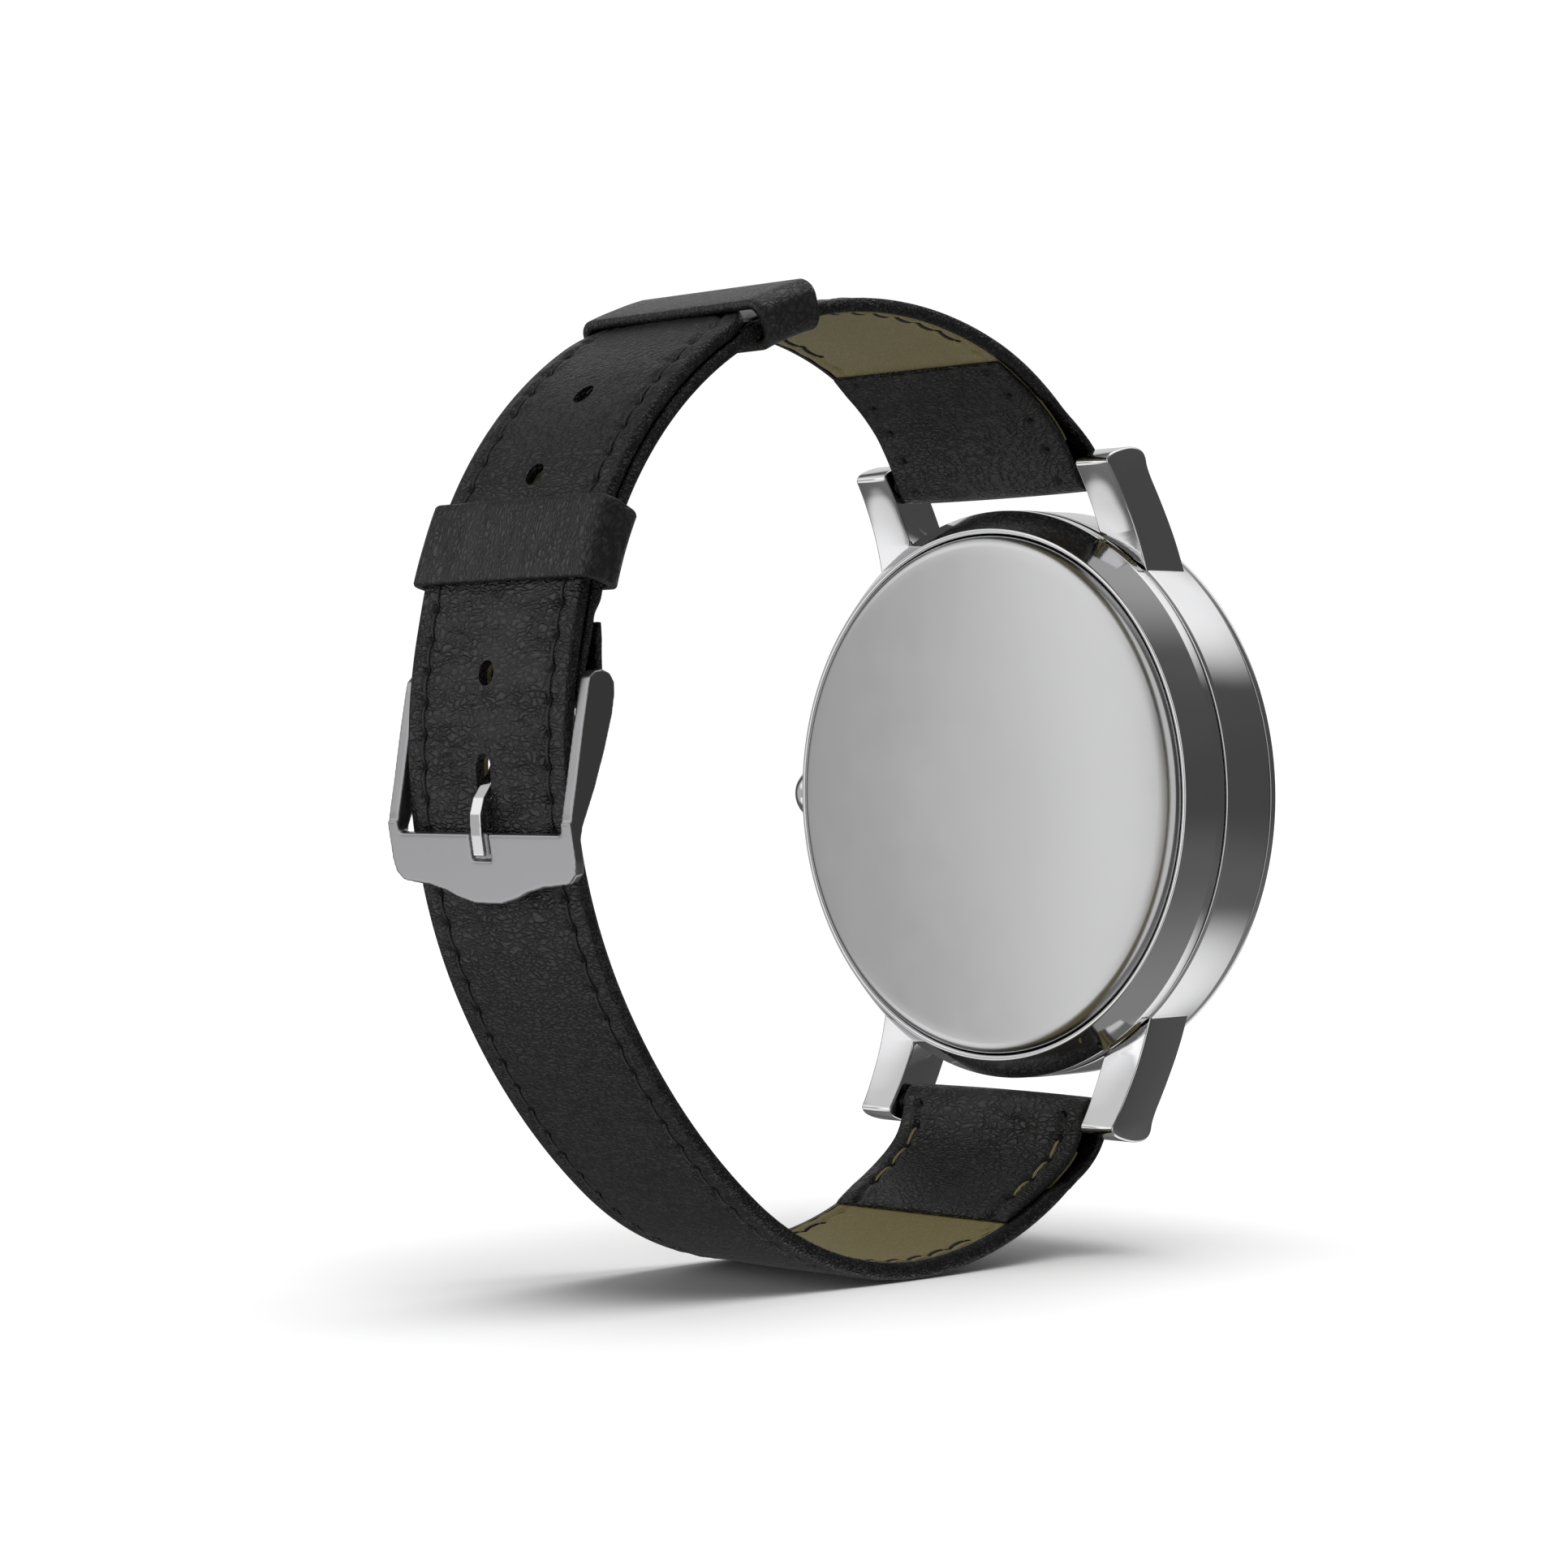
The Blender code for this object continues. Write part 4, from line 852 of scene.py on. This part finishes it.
def strap_object(name, ribbon, look, stands_for, crown=0.0):
    """A strap layer as one closed piece."""
    verts, faces = loft([ribbon_ring(row, ribbon.trim, crown) for row in ribbon.rows])
    return piece(name, verts, faces, look, "case", stands_for, 60)


def stitched(name, ribbon, pitch, look, span):
    """Dark plugs painting shade into the holes of a seam and, where it has a look, its thread."""
    verts, faces = seam_hole_shade_plugs(ribbon, pitch, span)
    piece(name + "_holes", verts, faces, "painted_hole_shade", "case")
    if look:
        verts, faces = seam_thread(ribbon, pitch, span)
        piece(name + "_thread", verts, faces, look, "case")


def build_short_strap():
    """The 12 o'clock strap: leather with its wrap and flap, lining, holes, painted shade plugs in
    the stitch holes, and thread.
    """
    stations = short_route()
    total = stations[-1][2]

    def outer(along):
        """Height of the shown face above the route."""
        return (STRAP_T / 2 + (LOOP_R - STRAP_T / 2) * opening(along, 6.0)
                + AXLE_RISE * opening(total - along, 4.5))

    ribbon = Ribbon()
    lug_ribbon(ribbon, stations, UPPER_PATCH_PITCH, SHORT_TAPER)
    for point, normal, along in stations:
        skirt = SKIRT * (1 - opening(along - 6.0, 2.0)) * (1 - opening(total - along - 5.0, 1.5))
        ribbon.add(point + normal * (outer(along) - LEATHER_T), point + normal * outer(along),
                   half_width(along, SHORT_TAPER), along, OUTER_PITCH, skirt)
    end, normal, _ = stations[-1]
    ahead = (end - stations[-2][0]).normalized()
    axle = Vector((KEEPER_AXIS[0] + SHORT_R + STRAP_T / 2 + AXLE_RISE - AXLE_LOOP_R,
                   KEEPER_AXIS[1]))
    angles = [pi * step / TURN_STEPS for step in range(1, TURN_STEPS)]
    inner = half_turn(axle, normal, ahead, AXLE_LOOP_R - LEATHER_T, angles)
    outside = half_turn(axle, normal, ahead, AXLE_LOOP_R, angles)
    for hidden, shown in zip(inner, outside):
        ribbon.add(hidden, shown, STRAP_END_W / 2, total, None)
    for point, side, along in stations[::-1]:
        if along < total - FLAP_LENGTH:
            break
        gap = -(STRAP_T / 2 + LAYER) - FLAP_EXTRA * opening(total - along, 4.5)
        thin = eased_end(along - total + FLAP_LENGTH)
        ribbon.add(point + side * gap, point + side * (gap - LEATHER_T * thin),
                   STRAP_END_W / 2 - 0.2, along, None)
    item = strap_object("short_strap_outer", ribbon, "black_leather", ("short_strap_leather",),
                        SHORT_CROWN)
    half, (near, far) = TANG_SLOT_HALF_W, TANG_SLOT_Y
    cut(item, loose(*loft([[(-half, near, z), (half, near, z), (half, far, z), (-half, far, z)]
                           for z in TANG_SLOT_Z])))
    item.data.shade_smooth()
    stitched("short_strap_outer", ribbon, OUTER_PITCH, "black_thread", (3.0, total - 3.0))
    stitched("short_strap_patch", ribbon, UPPER_PATCH_PITCH, None, (2.0, PATCH_LENGTH))
    lining = lining_ribbon(stations, 3.0, total - 3.4, SHORT_TAPER)
    strap_object("short_strap_inner", lining, "olive_lining", ("short_strap_lining",))
    stitched("short_strap_inner", lining, OUTER_PITCH, "black_thread", (PATCH_LENGTH, total))


def hole_tool(stations, middle, reach):
    """A cutter square to the strap at a distance, lengthened by reach each way."""
    along = [row[2] for row in stations]
    y, z = (np.interp(middle, along, [row[0][k] for row in stations]) for k in (0, 1))
    ny, nz = (np.interp(middle, along, [row[1][k] for row in stations]) for k in (0, 1))
    size = sqrt(ny * ny + nz * nz)
    ny, nz = ny / size, nz / size
    rings = []
    for depth in (-2.5, 2.5):
        ring = []
        for k in range(28):
            turn = 2 * pi * (k + 0.5) / 28
            x, run = HOLE_R * cos(turn), HOLE_R * sin(turn)
            run += reach if run > 0 else -reach
            ring.append((x, y + ny * depth - nz * run, z + nz * depth + ny * run))
        rings.append(ring)
    return loose(*loft(rings))


def build_long_strap():
    """The 6 o'clock strap: padded leather, lining, buckle holes, stitch holes with painted shade
    plugs, and thread.
    """
    stations = long_route()
    total = stations[-1][2]

    def outer(along):
        """Height of the shown face above the route."""
        padding = PADDING * opening(along - 8.0, 55.0) * (1 - opening(along, 8.0))
        return STRAP_T / 2 + (LOOP_R - STRAP_T / 2) * opening(along, 6.0) + padding

    def under(along):
        """Height of the hidden face above the route."""
        return outer(along) - LEATHER_T if along < 6.0 else STRAP_T / 2 - LEATHER_T

    ribbon = Ribbon()
    lug_ribbon(ribbon, stations, LOWER_PATCH_PITCH, LONG_TAPER)
    for point, normal, along in stations:
        skirt = SKIRT * (1 - opening(along - 6.0, 2.0)) * (1 - opening(total - along - 1.0, 1.5))
        ribbon.add(point + normal * under(along), point + normal * outer(along),
                   half_width(along, LONG_TAPER, total), along, OUTER_PITCH, skirt)
    leather_item = strap_object("long_strap_outer", ribbon, "black_leather",
                                ("long_strap_leather",), LONG_CROWN)
    lining = lining_ribbon(stations, 3.0, total - 0.8, LONG_TAPER, total)
    lining_item = strap_object("long_strap_inner", lining, "olive_lining",
                               ("long_strap_lining",))
    tongue = next(row[2] for row in stations
                  if row[0].x > KEEPER_AXIS[0] + 20 and row[0].y >= TONGUE_HOLE_Z)
    for index in range(-1, 5):
        for item in (leather_item, lining_item):
            reach = TONGUE_HOLE_REACH if index == 0 else 0.1
            cut(item, hole_tool(stations, tongue + HOLE_PITCH * index, reach))
    stitched("long_strap_outer", ribbon, OUTER_PITCH, "black_thread", (3.0, total - 6.0))
    stitched("long_strap_inner", lining, OUTER_PITCH, "black_thread", (PATCH_LENGTH, total - 6.0))
    stitched("long_strap_patch", ribbon, LOWER_PATCH_PITCH, "olive_thread", (2.2, PATCH_LENGTH))


def keeper_loop(half, low, high, corner):
    """Rounded rectangle (x, radius) of a keeper's middle line, in even order."""
    points = []
    centres = ((half - corner, high - corner), (corner - half, high - corner),
               (corner - half, low + corner), (half - corner, low + corner))
    for quarter, (x, r) in enumerate(centres):
        for step in range(KEEPER_CORNER_STEPS):
            angle = pi / 2 * (quarter + step / (KEEPER_CORNER_STEPS - 1))
            points.append((x + corner * cos(angle), r + corner * sin(angle)))
    return points


def build_keeper(name, node_name, body, angles):
    """A leather band with rounded rims, bent along the keeper arc."""
    outer = keeper_loop(KEEPER_HALF_OUT, KEEPER_R[0], KEEPER_R[3], 1.35)
    inner = keeper_loop(KEEPER_HALF_IN, KEEPER_R[1], KEEPER_R[2], 0.6)
    centre = sum(angles) / 2
    reach = radians(angles[1] - angles[0]) / 2
    middle = (KEEPER_R[1] + KEEPER_R[2]) / 2
    section = [(0.94 * (-1 + 2 * step / KEEPER_RIM_STEPS), 1.0)
               for step in range(KEEPER_RIM_STEPS + 1)]
    section += [(0.985, 0.88), (1.0, 0.5), (0.985, 0.12)]
    section += [(share * 0.94, 0.0) for share in (1, 0.6, 0.2, -0.2, -0.6, -1)]
    section += [(-0.985, 0.12), (-1.0, 0.5), (-0.985, 0.88)]
    rings = []
    for (xo, ro), (xi, ri) in zip(outer, inner):
        ring = []
        for share, level in section:
            dip = KEEPER_DIP * (1 - abs(share)) if level == 1.0 and ro > middle else 0.0
            x = xi + (xo - xi) * level
            r = ri + (ro - ri) * level - dip
            angle = radians(centre) + reach * share
            ring.append((x, KEEPER_AXIS[0] + r * cos(angle), KEEPER_AXIS[1] + r * sin(angle)))
        rings.append(ring)
    verts, faces = loft(rings, closed=True, capped=False)
    piece(name, verts, faces, "keeper_leather", body, (node_name,), 70)


# ---------------------------------------------------------------- carried-over nodes

def soften(item, cell, passes):
    """Weld a CAD node's split corners and wear its edges round."""
    weld = item.modifiers.new("weld", "WELD")
    weld.merge_threshold = 0.001 * MM
    skin = item.modifiers.new("skin", "REMESH")
    skin.mode = "VOXEL"
    skin.voxel_size = cell * MM
    skin.use_smooth_shade = True
    wear = item.modifiers.new("wear", "SMOOTH")
    wear.factor = 0.5
    wear.iterations = passes


def rounded_edges(item, width):
    """Bevel a CAD node's edges."""
    weld = item.modifiers.new("weld", "WELD")
    weld.merge_threshold = 0.001 * MM
    rounding = item.modifiers.new("rounding", "BEVEL")
    rounding.width = width * MM
    rounding.segments = 2
    rounding.limit_method = "ANGLE"
    rounding.angle_limit = radians(28)
    rounding.harden_normals = True


def dress_nodes():
    """Put a finish on every CAD node, by the slot its record names."""
    slots = {row["node"]: row["material_slot"] for row in frame["record"]["subparts"]}
    for name, item in nodes.items():
        item.data.materials.clear()
        item.data.materials.append(MATERIALS[slots[name]])
    soften(nodes["buckle_frame"], 0.09, 14)
    soften(nodes["buckle_tang"], 0.05, 8)
    for name in ("hour_hand", "minute_hand", "activity_hand"):
        rounded_edges(nodes[name], 0.04)


# ---------------------------------------------------------------- stage, light, camera

def build_stage():
    """A pale floor under the lowest point, which the metal doesn't mirror."""
    low = min(cad_box[0][2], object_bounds()[0][2])
    size = FLOOR_HALF
    mesh = bpy.data.meshes.new("floor")
    mesh.from_pydata([(-size, -size, low), (size, -size, low), (size, size, low),
                      (-size, size, low)], [], [(0, 1, 2, 3)])
    floor = bpy.data.objects.new("floor", mesh)
    bpy.context.scene.collection.objects.link(floor)
    made, tree, shader = shader_setup("pale_floor")
    cloud = noise(tree, millimetres(tree, (0.02, 0.02, 0.02)), 1.0)
    tree.links.new(tinted(tree, cloud, (0.9, 0.9, 0.9), (0.92, 0.92, 0.92)),
                   shader.inputs["Base Color"])
    shader.inputs["Roughness"].default_value = 0.6
    shader.inputs["Specular IOR Level"].default_value = 0.2
    mesh.materials.append(made)
    floor.visible_glossy = False


def build_world():
    """Soft studio light: bright above, greyer at the horizon, white behind the object."""
    world = bpy.data.worlds.new("studio")
    world.use_nodes = True
    bpy.context.scene.world = world
    tree = world.node_tree
    background = tree.nodes["Background"]
    background.inputs["Color"].default_value = (1.0, 1.0, 1.0, 1.0)
    coords = node(tree, "ShaderNodeTexCoord")
    split = node(tree, "ShaderNodeSeparateXYZ", {"Vector": coords.outputs["Generated"]})
    heights = node(tree, "ShaderNodeValToRGB", {"Fac": ranged(tree, split.outputs["Z"], 0.0, 1.0,
                                                              -1.0, 1.0)})
    bar = heights.color_ramp
    bar.interpolation = "EASE"
    while len(bar.elements) < len(SKY_STOPS):
        bar.elements.new(0.5)
    for element, (place, value) in zip(bar.elements, SKY_STOPS):
        element.position = place
        element.color = (value, value, value, 1.0)
    total = heights.outputs["Color"]
    for azimuth, height, start, stop, power in PANELS:
        turn, rise = radians(azimuth), radians(height)
        aim = (cos(turn) * cos(rise), sin(turn) * cos(rise), sin(rise))
        dot = node(tree, "ShaderNodeVectorMath", {0: coords.outputs["Generated"], 1: aim},
                   operation="DOT_PRODUCT")
        glow = node(tree, "ShaderNodeMapRange", {
            "Value": dot.outputs["Value"], "From Min": start, "From Max": stop, "To Min": 0.0,
            "To Max": power}, interpolation_type="SMOOTHSTEP")
        total = math(tree, "ADD", total, glow.outputs["Result"])
    path = node(tree, "ShaderNodeLightPath")
    seen = node(tree, "ShaderNodeMix", {"Factor": path.outputs["Is Camera Ray"], "A": total,
                                        "B": BACKDROP}, data_type="FLOAT")
    tree.links.new(seen.outputs["Result"], background.inputs["Strength"])


def build_lights():
    """Broad soft light from above, which the metal doesn't mirror."""
    for name, aim, spread, power in SUNS:
        data = bpy.data.lights.new(name, "SUN")
        data.angle = radians(spread)
        data.energy = power
        light = bpy.data.objects.new(name, data)
        light.rotation_euler = Vector(aim).to_track_quat("-Z", "Y").to_euler()
        light.visible_glossy = False
        bpy.context.scene.collection.objects.link(light)


def build_camera():
    """The camera, turned by its yaw, pitch and roll."""
    yaw, pitch, roll = (radians(angle) for angle in CAMERA_TURN)
    ahead = Vector((-sin(yaw) * cos(pitch), cos(yaw) * cos(pitch), -sin(pitch)))
    level = ahead.cross(Vector((0, 0, 1))).normalized()
    upright = level.cross(ahead)
    right = level * cos(roll) + upright * sin(roll)
    up = upright * cos(roll) - level * sin(roll)
    data = bpy.data.cameras.new("camera")
    data.sensor_width = 36.0
    data.lens = CAMERA_LENS
    data.clip_start = 0.01
    data.clip_end = 50.0
    camera = bpy.data.objects.new("camera", data)
    turn = Matrix((right, up, -ahead)).transposed()
    camera.matrix_world = Matrix.Translation(CAMERA_PLACE) @ turn.to_4x4()
    bpy.context.scene.collection.objects.link(camera)
    bpy.context.scene.camera = camera
    bpy.context.scene.view_settings.view_transform = "Standard"


dress_nodes()
build_case()
build_crown()
build_dial()
build_short_strap()
build_long_strap()
build_keeper("fixed_keeper_band", "fixed_keeper", "case", FIXED_KEEPER_ANGLES)
build_keeper("free_keeper_band", "free_keeper", "free_keeper_body", FREE_KEEPER_ANGLES)
build_stage()
build_world()
build_lights()
build_camera()
